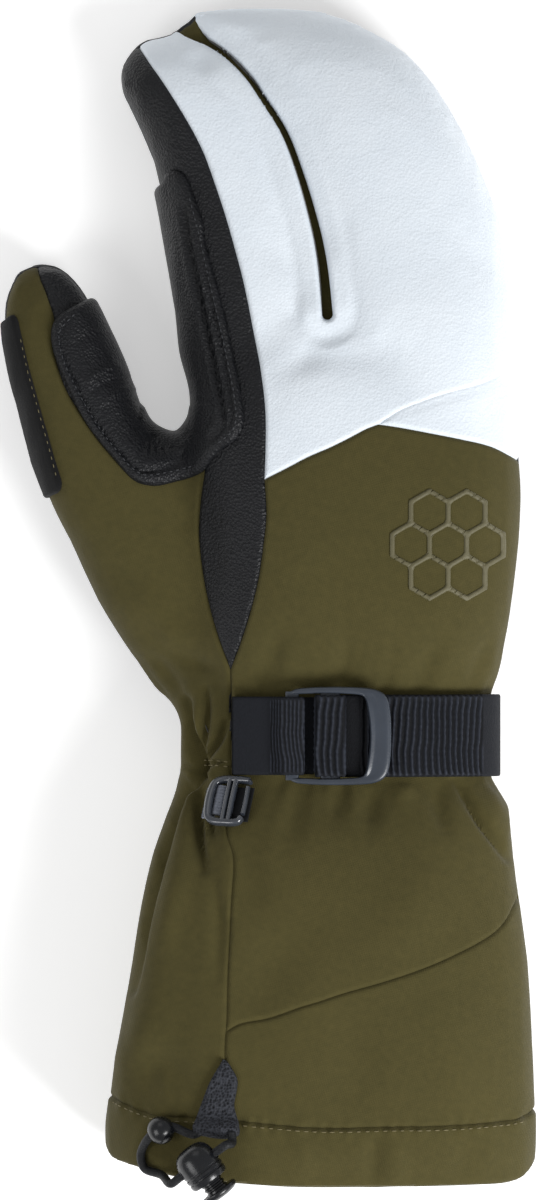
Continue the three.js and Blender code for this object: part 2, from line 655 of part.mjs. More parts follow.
// Strip of webbing along a line in the wrist's section
function strip(line, width, thickness, middleY) {
  const geometry = new THREE.ExtrudeGeometry(new THREE.Shape(thickLine(line, thickness)), {
    depth: width,
    bevelEnabled: false,
  });
  geometry.rotateX(Math.PI / 2);
  geometry.translate(0, middleY + width / 2, 0);
  return solid(geometry);
}

const firstLayer = CLEARANCE + WEBBING_THICKNESS / 2;
const secondLayer = firstLayer + CLEARANCE + WEBBING_THICKNESS;
const barLow = crown + 2 * CLEARANCE + WEBBING_THICKNESS;
const barTop = barLow + BAR_HEIGHT;
const overBar = barTop + CLEARANCE + WEBBING_THICKNESS / 2;
const sideRoom = CLEARANCE + WEBBING_THICKNESS / 2;
const buckleLeft = -PALM_WIDTH * 0.137;
const endBarRight = buckleLeft + END_BAR_WIDTH;
const middleLeft = -MIDDLE_BAR_WIDTH / 2;
const middleRight = MIDDLE_BAR_WIDTH / 2;
const buckleRight = buckleLeft + BUCKLE_LENGTH;
const leverLeft = buckleRight - LEVER_WIDTH;
const strapStart = wristCorner.x + 2;
const strapEnd = strapRow.centre + strapRow.half + 1;

const leftLoop = [
  ...overWrist(strapStart, endBarRight, firstLayer),
  far(endBarRight + sideRoom, crown + firstLayer),
  far(endBarRight + sideRoom, overBar),
  far(buckleLeft - sideRoom * 0.6, overBar),
  far(buckleLeft - WEBBING_THICKNESS - 2, crown + secondLayer - 0.1),
  ...overWrist(buckleLeft - 5, strapStart + 9, secondLayer),
];
addPiece('strap_left', strip(leftLoop, WEBBING_WIDTH, WEBBING_THICKNESS, strapAt), 'webbing');

const rightLace = [
  ...overWrist(strapEnd + 4, middleLeft + 1, firstLayer),
  far(middleLeft - sideRoom, crown + firstLayer),
  far(middleLeft - sideRoom, overBar),
  far(middleRight + sideRoom, overBar),
  far(middleRight + sideRoom, crown + secondLayer),
  ...overWrist(middleRight + 3, strapEnd + 1, secondLayer),
];
addPiece('strap_right', strip(rightLace, WEBBING_WIDTH, WEBBING_THICKNESS, strapAt), 'webbing');

// Ladder buckle: rails, end bar, middle bar and the raised lever
function bar(fromX, toX, low, high, width) {
  const geometry = new THREE.BoxGeometry(toX - fromX, width, high - low);
  geometry.translate((fromX + toX) / 2, strapAt, (low + high) / 2);
  return solid(geometry);
}
const railInside = WEBBING_WIDTH / 2 + 2 * CLEARANCE;
const frameWidth = 2 * (railInside + RAIL_WIDTH);
const leverLow = barLow + WEBBING_THICKNESS + CLEARANCE;
const railProfile = new THREE.Shape([
  far(buckleLeft, barLow),
  far(buckleRight - 1.5, barLow),
  far(buckleRight, barLow + 1.5),
  far(buckleRight, leverLow + LEVER_HEIGHT - 1.2),
  far(buckleRight - 2, leverLow + LEVER_HEIGHT),
  far(leverLeft, leverLow + LEVER_HEIGHT),
  far(middleRight, barTop + 1.2),
  far(middleLeft, barTop + 1.2),
  far(buckleLeft, barTop),
]);
function rail(middleY) {
  const geometry = new THREE.ExtrudeGeometry(railProfile, { depth: RAIL_WIDTH, bevelEnabled: false });
  geometry.rotateX(Math.PI / 2);
  geometry.translate(0, middleY + RAIL_WIDTH / 2, 0);
  return solid(geometry);
}
const buckle = rail(strapAt + railInside + RAIL_WIDTH / 2)
  .add(rail(strapAt - railInside - RAIL_WIDTH / 2))
  .add(bar(buckleLeft, endBarRight, barLow, barTop, frameWidth - RAIL_WIDTH))
  .add(bar(middleLeft, middleRight, barLow, barTop, frameWidth - RAIL_WIDTH))
  .add(bar(leverLeft, buckleRight, leverLow, leverLow + LEVER_HEIGHT - 1, frameWidth - RAIL_WIDTH));
addPiece('buckle', buckle, 'plastic');

// Place on the wall's upper side and the frame that lies flat on it there
function surfaceAt(x, y) {
  const row = sectionAt(bodyRows, y);
  const share = Math.min(Math.abs(x - row.centre) / row.half, 0.99);
  return (row.low + row.high) / 2 + ((row.high - row.low) / 2) * (1 - share ** TOP_ROUND) ** (1 / TOP_ROUND);
}
function seatAt(x, y, turn, height) {
  const slopeX = (surfaceAt(x + 3, y) - surfaceAt(x - 3, y)) / 6;
  const slopeY = (surfaceAt(x, y + 3) - surfaceAt(x, y - 3)) / 6;
  const normal = new THREE.Vector3(-slopeX, -slopeY, 1).normalize();
  const ahead = new THREE.Vector3(Math.cos(turn), Math.sin(turn), 0);
  const side = normal.clone().cross(ahead).normalize();
  const front = side.clone().cross(normal).normalize();
  const place = new THREE.Vector3(x, y, surfaceAt(x, y)).addScaledVector(normal, height);
  return new THREE.Matrix4().makeBasis(front, side, normal).setPosition(place);
}
function seated(geometry, seat) {
  geometry.applyMatrix4(seat);
  return solid(geometry);
}

// Hook with a closed eye for its tape and a second eye whose outer bar is split
const tapeThickness = WEBBING_THICKNESS * 0.7;
const hookPlace = onGlove([-0.645, 0.857]);
const hookSeat = seatAt(hookPlace.x, hookPlace.y, radians(-12), CLEARANCE + tapeThickness);
const hookBox = (fromX, toX, fromY, toY, low, high) => {
  const geometry = new THREE.BoxGeometry(toX - fromX, toY - fromY, high - low);
  geometry.translate((fromX + toX) / 2, (fromY + toY) / 2, (low + high) / 2);
  return seated(geometry, hookSeat);
};
const halfHook = HOOK_WIDTH / 2;
const halfLength = HOOK_LENGTH / 2;
const hookCorner = HOOK_BAR * 1.2;
const hookShape = new THREE.Shape([
  far(-halfHook + hookCorner, -halfLength),
  far(halfHook - hookCorner, -halfLength),
  far(halfHook, -halfLength + hookCorner),
  far(halfHook, halfLength - hookCorner),
  far(halfHook - hookCorner, halfLength),
  far(-halfHook + hookCorner, halfLength),
  far(-halfHook, halfLength - hookCorner),
  far(-halfHook, -halfLength + hookCorner),
]);
const hookPlate = new THREE.ExtrudeGeometry(hookShape, { depth: HOOK_THICKNESS, bevelEnabled: false });
const eyeLow = -halfLength + HOOK_BAR;
const eyeHigh = halfLength - HOOK_BAR;
const hook = seated(hookPlate, hookSeat)
  .subtract(hookBox(-halfHook + HOOK_BAR, -HOOK_BAR * 0.6, eyeLow, eyeHigh, -1, HOOK_THICKNESS + 1))
  .subtract(hookBox(HOOK_BAR * 0.6, halfHook - HOOK_BAR, eyeLow, eyeHigh, -1, HOOK_THICKNESS + 1))
  .subtract(hookBox(HOOK_BAR, halfHook + 1, eyeHigh - HOOK_BAR, eyeHigh, -1, HOOK_THICKNESS + 1));
addPiece('glove_hook', hook, 'plastic');

// Tape: under the eye's outer bar, up through the eye and back
const tapeX = -halfHook + HOOK_BAR + CLEARANCE + tapeThickness / 2;
const tapeLine = [
  far(-halfHook - 2.5, -CLEARANCE - tapeThickness / 2),
  far(tapeX, -CLEARANCE - tapeThickness / 2),
  far(tapeX, HOOK_THICKNESS + CLEARANCE + tapeThickness / 2),
  far(-halfHook - 0.6, HOOK_THICKNESS + CLEARANCE + tapeThickness / 2),
];
const tapeGeometry = new THREE.ExtrudeGeometry(new THREE.Shape(thickLine(tapeLine, tapeThickness)), {
  depth: eyeHigh - eyeLow - 2,
  bevelEnabled: false,
});
tapeGeometry.rotateX(Math.PI / 2);
tapeGeometry.translate(0, (eyeHigh - eyeLow - 2) / 2, 0);
addPiece('hook_tape', seated(tapeGeometry, hookSeat), 'webbing');

// Cord lock: barrel and button on one axis, the cord's hole across both
const lockPlace = onGlove([-0.538, 0.078]);
const lockTurn = radians(-54);
const lockSeat = seatAt(lockPlace.x, lockPlace.y, lockTurn, LOCK_DIAMETER / 2 + CLEARANCE + PATCH_THICKNESS);
const lathe = (points, fromX) => {
  const geometry = new THREE.LatheGeometry(points, 12);
  geometry.rotateZ(-Math.PI / 2);
  geometry.translate(fromX, 0, 0);
  return seated(geometry, lockSeat);
};
const lockRadius = LOCK_DIAMETER / 2;
const bore = STEM_DIAMETER / 2 + CLEARANCE;
const lockEnd = LOCK_LENGTH / 2;
const barrel = lathe([
  far(0, 0),
  far(lockRadius * 0.6, 0),
  far(lockRadius * 0.92, LOCK_LENGTH * 0.14),
  far(lockRadius, LOCK_LENGTH * 0.42),
  far(lockRadius, LOCK_LENGTH * 0.72),
  far(lockRadius * 0.9, LOCK_LENGTH),
  far(0, LOCK_LENGTH),
], -lockEnd);
const across = new THREE.CylinderGeometry(CORD_HOLE / 2, CORD_HOLE / 2, 2 * LOCK_DIAMETER, 12);
const boreCut = lathe([far(0, 0), far(bore, 0), far(bore, LOCK_LENGTH), far(0, LOCK_LENGTH)], 2 - lockEnd);
addPiece('cord_lock_barrel', barrel.subtract(boreCut).subtract(seated(across, lockSeat)), 'plastic');
const stemStart = 2 - lockEnd + BUTTON_TRAVEL + 0.5;
const headStart = lockEnd + BUTTON_TRAVEL + 0.5;
const stem = lathe([
  far(0, 0),
  far(STEM_DIAMETER / 2, 0),
  far(STEM_DIAMETER / 2, headStart - stemStart),
  far(lockRadius * 0.96, headStart - stemStart),
  far(lockRadius * 0.96, headStart - stemStart + BUTTON_THICKNESS * 0.5),
  far(lockRadius * 0.6, headStart - stemStart + BUTTON_THICKNESS),
  far(0, headStart - stemStart + BUTTON_THICKNESS),
], stemStart);
const slotShape = new THREE.Shape();
const slotHalf = CORD_HOLE / 2;
slotShape.absarc(BUTTON_TRAVEL, 0, slotHalf, -Math.PI / 2, Math.PI / 2, false);
slotShape.absarc(0, 0, slotHalf, Math.PI / 2, (3 * Math.PI) / 2, false);
const slotGeometry = new THREE.ExtrudeGeometry(slotShape, {
  depth: 2 * LOCK_DIAMETER,
  bevelEnabled: false,
  curveSegments: 6,
});
slotGeometry.rotateX(Math.PI / 2);
slotGeometry.translate(0, LOCK_DIAMETER, 0);
addPiece('cord_lock_button', stem.subtract(seated(slotGeometry, lockSeat)), 'plastic');

// Bead on the cord
const beadPlace = onGlove([-0.742, 0.139]);
const beadHeight = surfaceAt(beadPlace.x, beadPlace.y) + BEAD_DIAMETER / 2 + CLEARANCE;
const beadCentre = new THREE.Vector3(beadPlace.x, beadPlace.y, beadHeight);
const lockCentre = new THREE.Vector3().setFromMatrixPosition(lockSeat);
const lockAcross = new THREE.Vector3().setFromMatrixColumn(lockSeat, 1);

// Route of the cord: from the tab through the bead, round a bight and through the lock to the tab
const above = (x, y, lift) => new THREE.Vector3(x, y, surfaceAt(x, y) + CORD_DIAMETER / 2 + lift);
const tabEnd = onGlove([-0.500, 0.160]);
const lift = CLEARANCE;
const overHem = PATCH_THICKNESS + CLEARANCE;
const route = [
  above(tabEnd.x - 3.2, tabEnd.y - 2.4, lift),
  above(tabEnd.x - 6, tabEnd.y - 4, lift + 0.6),
  beadCentre.clone().add(new THREE.Vector3(2.6, 1.2, 0)),
  beadCentre.clone(),
  beadCentre.clone().add(new THREE.Vector3(-2.6, -1.2, 0)),
  above(beadPlace.x - 6, beadPlace.y - 7.4, lift + 1),
  above(beadPlace.x - 5, beadPlace.y - 11.6, lift + 0.5),
  above(beadPlace.x, beadPlace.y - 13.4, lift + 0.8),
  lockCentre.clone().addScaledVector(lockAcross, -LOCK_DIAMETER * 0.85),
  lockCentre.clone().addScaledVector(lockAcross, -LOCK_DIAMETER * 0.6),
  lockCentre.clone().addScaledVector(lockAcross, LOCK_DIAMETER * 0.6),
  lockCentre.clone().addScaledVector(lockAcross, LOCK_DIAMETER * 0.85),
  above(tabEnd.x + 5.4, tabEnd.y - 6.2, lift + 2.4),
  above(tabEnd.x + 5.2, tabEnd.y - 3.2, lift + overHem),
];
const cordPath = new THREE.CatmullRomCurve3(route, false, 'centripetal');
const cordCircle = new THREE.Shape();
cordCircle.absarc(0, 0, CORD_DIAMETER / 2, 0, 2 * Math.PI, false);
const cordGeometry = new THREE.ExtrudeGeometry(cordCircle, {
  steps: CORD_STEPS,
  curveSegments: 4,
  bevelEnabled: false,
  extrudePath: cordPath,
});
addPiece('drawcord', solid(cordGeometry), 'cord');

const beadGeometry = new THREE.SphereGeometry(BEAD_DIAMETER / 2, 12, 8);
beadGeometry.translate(beadCentre.x, beadCentre.y, beadCentre.z);
const cordRoom = new THREE.Shape();
cordRoom.absarc(0, 0, CORD_HOLE / 2, 0, 2 * Math.PI, false);
const beadHole = new THREE.ExtrudeGeometry(cordRoom, {
  steps: CORD_STEPS,
  curveSegments: 4,
  bevelEnabled: false,
  extrudePath: cordPath,
});
addPiece('cord_bead', solid(beadGeometry).subtract(solid(beadHole)), 'plastic');

// Corners and triangles of a solid without the crumbs that a cut can leave
const SMALLEST = 1;
function withoutCrumbs(points, corners) {
  const keys = new Map();
  const parent = [];
  const find = (i) => {
    while (parent[i] !== i) {
      parent[i] = parent[parent[i]];
      i = parent[i];
    }
    return i;
  };
  const merged = [];
  for (let i = 0; i < points.length / 3; i += 1) {
    const key = [0, 1, 2].map((axis) => Math.round(points[3 * i + axis] * 1000)).join(' ');
    if (!keys.has(key)) {
      keys.set(key, i);
    }
    merged.push(keys.get(key));
    parent.push(i);
  }
  for (let i = 0; i < corners.length; i += 3) {
    const first = find(merged[corners[i]]);
    parent[find(merged[corners[i + 1]])] = first;
    parent[find(merged[corners[i + 2]])] = find(first);
  }
  const volumes = new Map();
  const at = (i) => new THREE.Vector3(points[3 * i], points[3 * i + 1], points[3 * i + 2]);
  for (let i = 0; i < corners.length; i += 3) {
    const body = find(merged[corners[i]]);
    const part = at(corners[i]).dot(at(corners[i + 1]).cross(at(corners[i + 2]))) / 6;
    volumes.set(body, (volumes.get(body) ?? 0) + part);
  }
  const kept = [];
  for (let i = 0; i < corners.length; i += 3) {
    if (volumes.get(find(merged[corners[i]])) > SMALLEST) {
      kept.push(corners[i], corners[i + 1], corners[i + 2]);
    }
  }
  return kept;
}

// The finished pieces, moved so that the middle of the glove's sole is the origin, cord left aside
const onCord = ['drawcord', 'cord_bead', 'cord_lock_barrel', 'cord_lock_button'];
const box = new THREE.Box3();
const meshes = pieces.map(({ name, manifold, kind }) => {
  const mesh = manifold.getMesh();
  const geometry = new THREE.BufferGeometry();
  const count = mesh.vertProperties.length / mesh.numProp;
  const positions = new Float32Array(3 * count);
  for (let i = 0; i < count; i += 1) {
    positions.set(mesh.vertProperties.subarray(i * mesh.numProp, i * mesh.numProp + 3), 3 * i);
  }
  geometry.setAttribute('position', new THREE.BufferAttribute(positions, 3));
  geometry.setIndex(new THREE.BufferAttribute(Uint32Array.from(withoutCrumbs(positions, mesh.triVerts)), 1));
  geometry.computeVertexNormals();
  geometry.computeBoundingBox();
  if (!onCord.includes(name)) {
    box.union(geometry.boundingBox);
  }
  const [colour, roughness] = colours[kind];
  const material = new THREE.MeshStandardMaterial({ color: colour, roughness, metalness: 0 });
  const result = new THREE.Mesh(geometry, material);
  result.name = name;
  return result;
});
const middle = box.getCenter(new THREE.Vector3());
for (const mesh of meshes) {
  mesh.geometry.translate(-middle.x, -middle.y, -box.min.z);
  group.add(mesh);
}
group.name = 'glove';

export default group;
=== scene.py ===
# %% [markdown]
# # An insulated glove with a cuff
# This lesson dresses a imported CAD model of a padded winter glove. The frame holds the real sizes
# and the moving piece. Each soft or hard piece gets a detailed mesh and a procedural material here.

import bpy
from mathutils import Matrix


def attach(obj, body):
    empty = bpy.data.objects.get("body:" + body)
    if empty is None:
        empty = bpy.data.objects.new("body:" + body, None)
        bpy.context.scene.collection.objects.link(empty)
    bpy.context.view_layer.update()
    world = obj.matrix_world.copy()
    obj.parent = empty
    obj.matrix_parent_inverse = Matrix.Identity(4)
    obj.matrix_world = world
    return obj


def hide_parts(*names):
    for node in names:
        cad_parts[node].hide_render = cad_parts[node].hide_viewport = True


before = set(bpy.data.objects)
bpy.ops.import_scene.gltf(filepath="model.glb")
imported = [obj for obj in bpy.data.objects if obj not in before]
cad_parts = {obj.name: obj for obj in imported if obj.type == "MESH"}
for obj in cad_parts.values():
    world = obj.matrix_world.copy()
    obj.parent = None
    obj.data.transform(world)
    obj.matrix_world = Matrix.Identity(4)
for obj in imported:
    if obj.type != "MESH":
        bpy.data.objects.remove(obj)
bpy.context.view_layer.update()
print("nodes in the frame:", len(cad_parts))

# %% Tools and units
import math
import bmesh
import bpy
import numpy as np
from mathutils import Vector
from mathutils.bvhtree import BVHTree

MM = 0.001
MIDDLE = np.array([-17.7818, 176.94, 0.0])


def to_metres(points):
    """Drawing millimetres to metres in the frame, whose origin is the middle of the sole."""
    return (np.asarray(points, float) - MIDDLE) * MM


def linked(name, data):
    """A new object in the scene."""
    thing = bpy.data.objects.new(name, data)
    bpy.context.scene.collection.objects.link(thing)
    return thing


def coordinates(mesh, attribute="co"):
    """A mesh's points, or their normals, as rows of three numbers."""
    values = np.empty(len(mesh.vertices) * 3)
    mesh.vertices.foreach_get(attribute, values)
    return values.reshape(-1, 3)


def unit(vectors):
    """The same rows, each of length one."""
    return vectors / np.maximum(np.linalg.norm(vectors, axis=1, keepdims=True), 1e-9)


def lengths_along(line):
    """Distance from a line's start to each of its points."""
    return np.concatenate([[0], np.cumsum(np.linalg.norm(np.diff(line, axis=0), axis=1))])


def smooth_step(low, high, value):
    """Soft rise from 0 to 1 between two values."""
    t = np.clip((value - low) / (high - low), 0, 1)
    return t * t * (3 - 2 * t)


def round_over(distance, reach):
    """Quarter circle from 0 at an edge to 1 at its reach."""
    return np.sqrt(np.clip(1 - (1 - np.clip(distance / reach, 0, 1)) ** 2, 0, 1))


def squarish(sides, squareness):
    """Across and up, each from -1 to 1, round an oval with rounded corners."""
    angle = 2 * np.pi * np.arange(sides) / sides
    power = 2 / np.asarray(squareness)
    across = np.sign(np.cos(angle)) * np.abs(np.cos(angle)) ** power
    up = np.sign(np.sin(angle)) * np.abs(np.sin(angle)) ** power
    return across, up


def ring_faces(rows, sides, closed=False):
    """Four-sided faces between neighbouring rings of points."""
    return [
        (row * sides + i, row * sides + (i + 1) % sides,
         (row + 1) % rows * sides + (i + 1) % sides, (row + 1) % rows * sides + i)
        for row in range(rows if closed else rows - 1) for i in range(sides)
    ]


print("one millimetre is", MM, "metres")

# %% [markdown]
# ## Camera
# The photograph looks straight down on the glove with its fingers up the picture. A long lens far
# above keeps both ends in the same proportion.

# %% Camera
PHOTO_HEIGHT = 0.360
CAMERA_HEIGHT = 3.0
MEAN_SURFACE = 0.030
camera_data = bpy.data.cameras.new("camera")
camera_data.sensor_fit = "VERTICAL"
camera_data.sensor_height = 36.0
camera_data.lens = 36.0 * (CAMERA_HEIGHT - MEAN_SURFACE) / PHOTO_HEIGHT
camera_data.clip_start = 0.1
camera = linked("camera", camera_data)
camera.location = (0.0001, -0.0008, CAMERA_HEIGHT)
bpy.context.scene.camera = camera
print("lens", round(camera_data.lens, 1), "mm")

# %% [markdown]
# ## Curves and distances
# Seams are drawn as points in plan, in the drawing's millimetres, and rounded to smooth lines. The
# distance to a line shapes its groove, and whether a point lies in an outline names its panel.


# %% Smooth lines and distances
def smooth_line(points, step=1.5):
    """Centripetal curve through the points, in short even steps."""
    p = np.asarray(points, float)
    ends = [2 * p[0] - p[1]], [2 * p[-1] - p[-2]]
    q = np.vstack([ends[0], p, ends[1]])
    line = [p[0]]
    for i in range(1, len(q) - 2):
        a, b, c, d = q[i - 1], q[i], q[i + 1], q[i + 2]
        k = [0.0]
        for u, v in ((a, b), (b, c), (c, d)):
            k.append(k[-1] + max(np.linalg.norm(v - u), 1e-6) ** 0.5)
        count = max(1, int(round(np.linalg.norm(c - b) / step)))
        for t in np.linspace(k[1], k[2], count + 1)[1:]:
            a1 = a * (k[1] - t) / (k[1] - k[0]) + b * (t - k[0]) / (k[1] - k[0])
            a2 = b * (k[2] - t) / (k[2] - k[1]) + c * (t - k[1]) / (k[2] - k[1])
            a3 = c * (k[3] - t) / (k[3] - k[2]) + d * (t - k[2]) / (k[3] - k[2])
            b1 = a1 * (k[2] - t) / (k[2] - k[0]) + a2 * (t - k[0]) / (k[2] - k[0])
            b2 = a2 * (k[3] - t) / (k[3] - k[1]) + a3 * (t - k[1]) / (k[3] - k[1])
            line.append(b1 * (k[2] - t) / (k[2] - k[1]) + b2 * (t - k[1]) / (k[2] - k[1]))
    return np.array(line)


def distance_to(line, points):
    """Distance in plan from each point to a line, and how far along the line that is."""
    line = np.asarray(line, float)[:, :2]
    xy = np.asarray(points, float)[:, :2]
    best = np.full(len(xy), 1e9)
    along = np.zeros(len(xy))
    start = 0.0
    for a, b in zip(line[:-1], line[1:]):
        leg = b - a
        length = max(np.linalg.norm(leg), 1e-9)
        t = np.clip(((xy - a) @ leg) / length ** 2, 0, 1)
        d = np.hypot(*(xy - a - t[:, None] * leg).T)
        nearer = d < best
        best[nearer] = d[nearer]
        along[nearer] = start + t[nearer] * length
        start += length
    return best, along


def near_distance(line, points, reach=10.0):
    """The same distance, but only within reach of the line: much quicker on a large skin."""
    line = np.asarray(line, float)[:, :2]
    xy = np.asarray(points, float)[:, :2]
    best = np.full(len(xy), float(reach))
    for start in range(0, len(line) - 1, 10):
        run = line[start:start + 11]
        low, high = run.min(0) - reach, run.max(0) + reach
        close = np.nonzero(((xy > low) & (xy < high)).all(1))[0]
        if len(close):
            best[close] = np.minimum(best[close], distance_to(run, xy[close])[0])
    return best


def height_over(line, points):
    """How far up the glove points lie from a line that runs across it."""
    return points[:, 1] - np.interp(points[:, 0], line[:, 0], line[:, 1])


def inside(outline, points):
    """True for points within a closed outline in plan."""
    x, y = np.asarray(points, float)[:, 0], np.asarray(points, float)[:, 1]
    result = np.zeros(len(x), bool)
    corners = np.asarray(outline, float)
    for (ax, ay), (bx, by) in zip(corners[:, :2], np.roll(corners, -1, axis=0)[:, :2]):
        if ay != by:
            crosses = (ay > y) != (by > y)
            result ^= crosses & (x < (bx - ax) * (y - ay) / (by - ay) + ax)
    return result


def side_of(line, closing, points):
    """Distance to a line, positive inside the outline that the line and its closing points make."""
    d, _ = distance_to(line, points)
    return np.where(inside(np.vstack([line, closing]), points), d, -d)


print("a test line of 10 mm has", len(smooth_line([(0, 0), (5, 1), (10, 0)])), "points")

# %% [markdown]
# ## The form of the glove
# The body, the mitten for three fingers, the index finger and the thumb are lofted through the same
# sections as the CAD solids, then joined and remeshed into one skin, as the real shell is one bag.

# %% Sizes and sections
CUFF_LENGTH, CUFF_WIDTH, CUFF_HEIGHT = 134.1, 129.3, 62.0
HAND_LENGTH, PALM_WIDTH, HAND_HEIGHT = 220.0, 97.8, 52.0
THUMB_LENGTH, THUMB_WIDTH, THUMB_HEIGHT, THUMB_LEAN = 131.7, 50.0, 34.0, math.radians(22.4)
TOP_ROUND, SOLE_ROUND = 2.5, 4.0
CUFF_SECTIONS = [
    (-0.110, -0.022, 0.970, -0.016, 0.930), (0.000, -0.022, 0.986, -0.016, 0.952),
    (0.105, -0.022, 1.000, -0.016, 1.000), (0.228, -0.016, 0.984, -0.016, 1.000),
    (0.485, -0.002, 0.923, -0.016, 0.968), (0.620, 0.002, 0.886, -0.016, 0.935),
    (0.732, 0.007, 0.845, -0.016, 0.887), (0.808, 0.013, 0.805, 0.000, 0.831),
    (0.859, 0.019, 0.775, 0.016, 0.774), (0.893, 0.017, 0.735, 0.032, 0.729),
]
HAND_SECTIONS = [
    (-0.056, 0.014, 0.942, 0.048, 0.846), (0.070, 0.015, 0.939, 0.048, 0.846),
    (0.083, 0.035, 0.948, 0.038, 0.869), (0.123, 0.049, 0.957, 0.019, 0.923),
    (0.191, 0.072, 0.972, -0.019, 0.981), (0.327, 0.086, 1.000, -0.019, 1.000),
    (0.423, 0.071, 1.012, -0.019, 0.962), (0.560, 0.058, 0.990, -0.019, 0.790),
    (0.584, 0.057, 0.970, 0.019, 0.660),
]
MITTEN_SECTIONS = [
    (0.409, 0.298, 0.521, 0.038, 0.904), (0.491, 0.287, 0.537, 0.000, 0.894),
    (0.570, 0.288, 0.553, -0.019, 0.865), (0.682, 0.252, 0.557, -0.019, 0.788),
    (0.791, 0.183, 0.543, -0.019, 0.731), (0.845, 0.128, 0.523, -0.010, 0.692),
    (0.880, 0.082, 0.511, 0.000, 0.654), (0.914, 0.021, 0.509, 0.015, 0.606),
    (0.941, -0.046, 0.509, 0.038, 0.548), (0.961, -0.115, 0.488, 0.067, 0.481),
    (0.979, -0.175, 0.448, 0.106, 0.413), (0.991, -0.202, 0.356, 0.154, 0.346),
    (0.999, -0.206, 0.153, 0.202, 0.279),
]
INDEX_SECTIONS = [
    (0.409, -0.221, 0.380, 0.038, 0.808), (0.491, -0.224, 0.399, 0.000, 0.808),
    (0.570, -0.233, 0.427, -0.019, 0.788), (0.682, -0.273, 0.423, -0.019, 0.731),
    (0.784, -0.331, 0.406, -0.019, 0.673), (0.814, -0.357, 0.408, -0.019, 0.654),
    (0.852, -0.403, 0.405, -0.010, 0.625), (0.886, -0.446, 0.394, 0.000, 0.587),
    (0.911, -0.459, 0.351, 0.019, 0.538), (0.933, -0.472, 0.278, 0.048, 0.462),
    (0.948, -0.483, 0.206, 0.096, 0.375), (0.957, -0.482, 0.129, 0.163, 0.288),
]
THUMB_SECTIONS = [
    (-0.106, 0.080, 0.440, 0.118, 0.882), (0.000, 0.060, 0.740, 0.000, 0.960),
    (0.203, 0.020, 0.900, -0.029, 1.059), (0.406, 0.002, 0.968, -0.029, 1.044),
    (0.605, -0.078, 0.712, -0.029, 0.971), (0.754, -0.084, 0.608, -0.015, 0.897),
    (0.850, -0.056, 0.536, 0.000, 0.838), (0.894, -0.048, 0.492, 0.029, 0.794),
    (0.942, -0.036, 0.400, 0.088, 0.721), (0.977, -0.024, 0.272, 0.176, 0.618),
    (0.996, -0.012, 0.136, 0.279, 0.500),
]
THUMB_ORIGIN = np.array([-0.383 * PALM_WIDTH, 1.157 * CUFF_LENGTH])
THUMB_ALONG = np.array([-math.sin(THUMB_LEAN), math.cos(THUMB_LEAN)])
THUMB_ACROSS = np.array([math.cos(THUMB_LEAN), math.sin(THUMB_LEAN)])


def in_millimetres(rows, start, length, width, height):
    r = np.array(rows)
    return np.column_stack([
        start + r[:, 0] * length, r[:, 1] * width, r[:, 2] * width / 2, r[:, 3] * height, r[:, 4] * height,
    ])


cuff_rows = in_millimetres(CUFF_SECTIONS, 0, CUFF_LENGTH, CUFF_WIDTH, CUFF_HEIGHT)
hand_rows = in_millimetres(HAND_SECTIONS, CUFF_LENGTH, HAND_LENGTH, PALM_WIDTH, HAND_HEIGHT)
mitten_rows = in_millimetres(MITTEN_SECTIONS, CUFF_LENGTH, HAND_LENGTH, PALM_WIDTH, HAND_HEIGHT)
index_rows = in_millimetres(INDEX_SECTIONS, CUFF_LENGTH, HAND_LENGTH, PALM_WIDTH, HAND_HEIGHT)
thumb_rows = in_millimetres(THUMB_SECTIONS, 0, THUMB_LENGTH, THUMB_WIDTH, THUMB_HEIGHT)
body_rows = np.vstack([cuff_rows, hand_rows])
# The fingers reach into each other beside the slit, so that the skin over them is one piece
index_rows[1:, 1:3] += 2.2
mitten_rows[1:, 1:3] += (-1.8, 1.8)
print("body sections:", len(body_rows), "from", body_rows[0, 0], "to", round(body_rows[-1, 0], 1), "mm")


# %% Loft through sections
def dense_rows(rows, step=2.5):
    """Sections every few millimetres on a curve that never overshoots its rows."""
    x = rows[:, 0]
    at = np.unique(np.concatenate([np.linspace(x[0], x[-1], int((x[-1] - x[0]) / step) + 1), x]))
    columns = [at]
    for y in rows[:, 1:].T:
        slope = np.diff(y) / np.diff(x)
        tangent = np.zeros(len(x))
        for i in range(1, len(x) - 1):
            if slope[i - 1] * slope[i] > 0:
                h0, h1 = x[i] - x[i - 1], x[i + 1] - x[i]
                w0, w1 = 2 * h1 + h0, h1 + 2 * h0
                tangent[i] = (w0 + w1) / (w0 / slope[i - 1] + w1 / slope[i])
        tangent[0], tangent[-1] = slope[0], slope[-1]
        i = np.clip(np.searchsorted(x, at, side="right") - 1, 0, len(x) - 2)
        h = x[i + 1] - x[i]
        t = (at - x[i]) / h
        columns.append(
            y[i] * (1 + 2 * t) * (1 - t) ** 2 + tangent[i] * h * t * (1 - t) ** 2
            + y[i + 1] * t * t * (3 - 2 * t) + tangent[i + 1] * h * t * t * (t - 1)
        )
    return np.column_stack(columns)


def straight(x, y, z):
    return np.stack([x, y, z], -1)


def leaning(x, y, z):
    plan = THUMB_ORIGIN + x[..., None] * THUMB_ACROSS + y[..., None] * THUMB_ALONG
    return np.concatenate([plan, z[..., None]], -1)


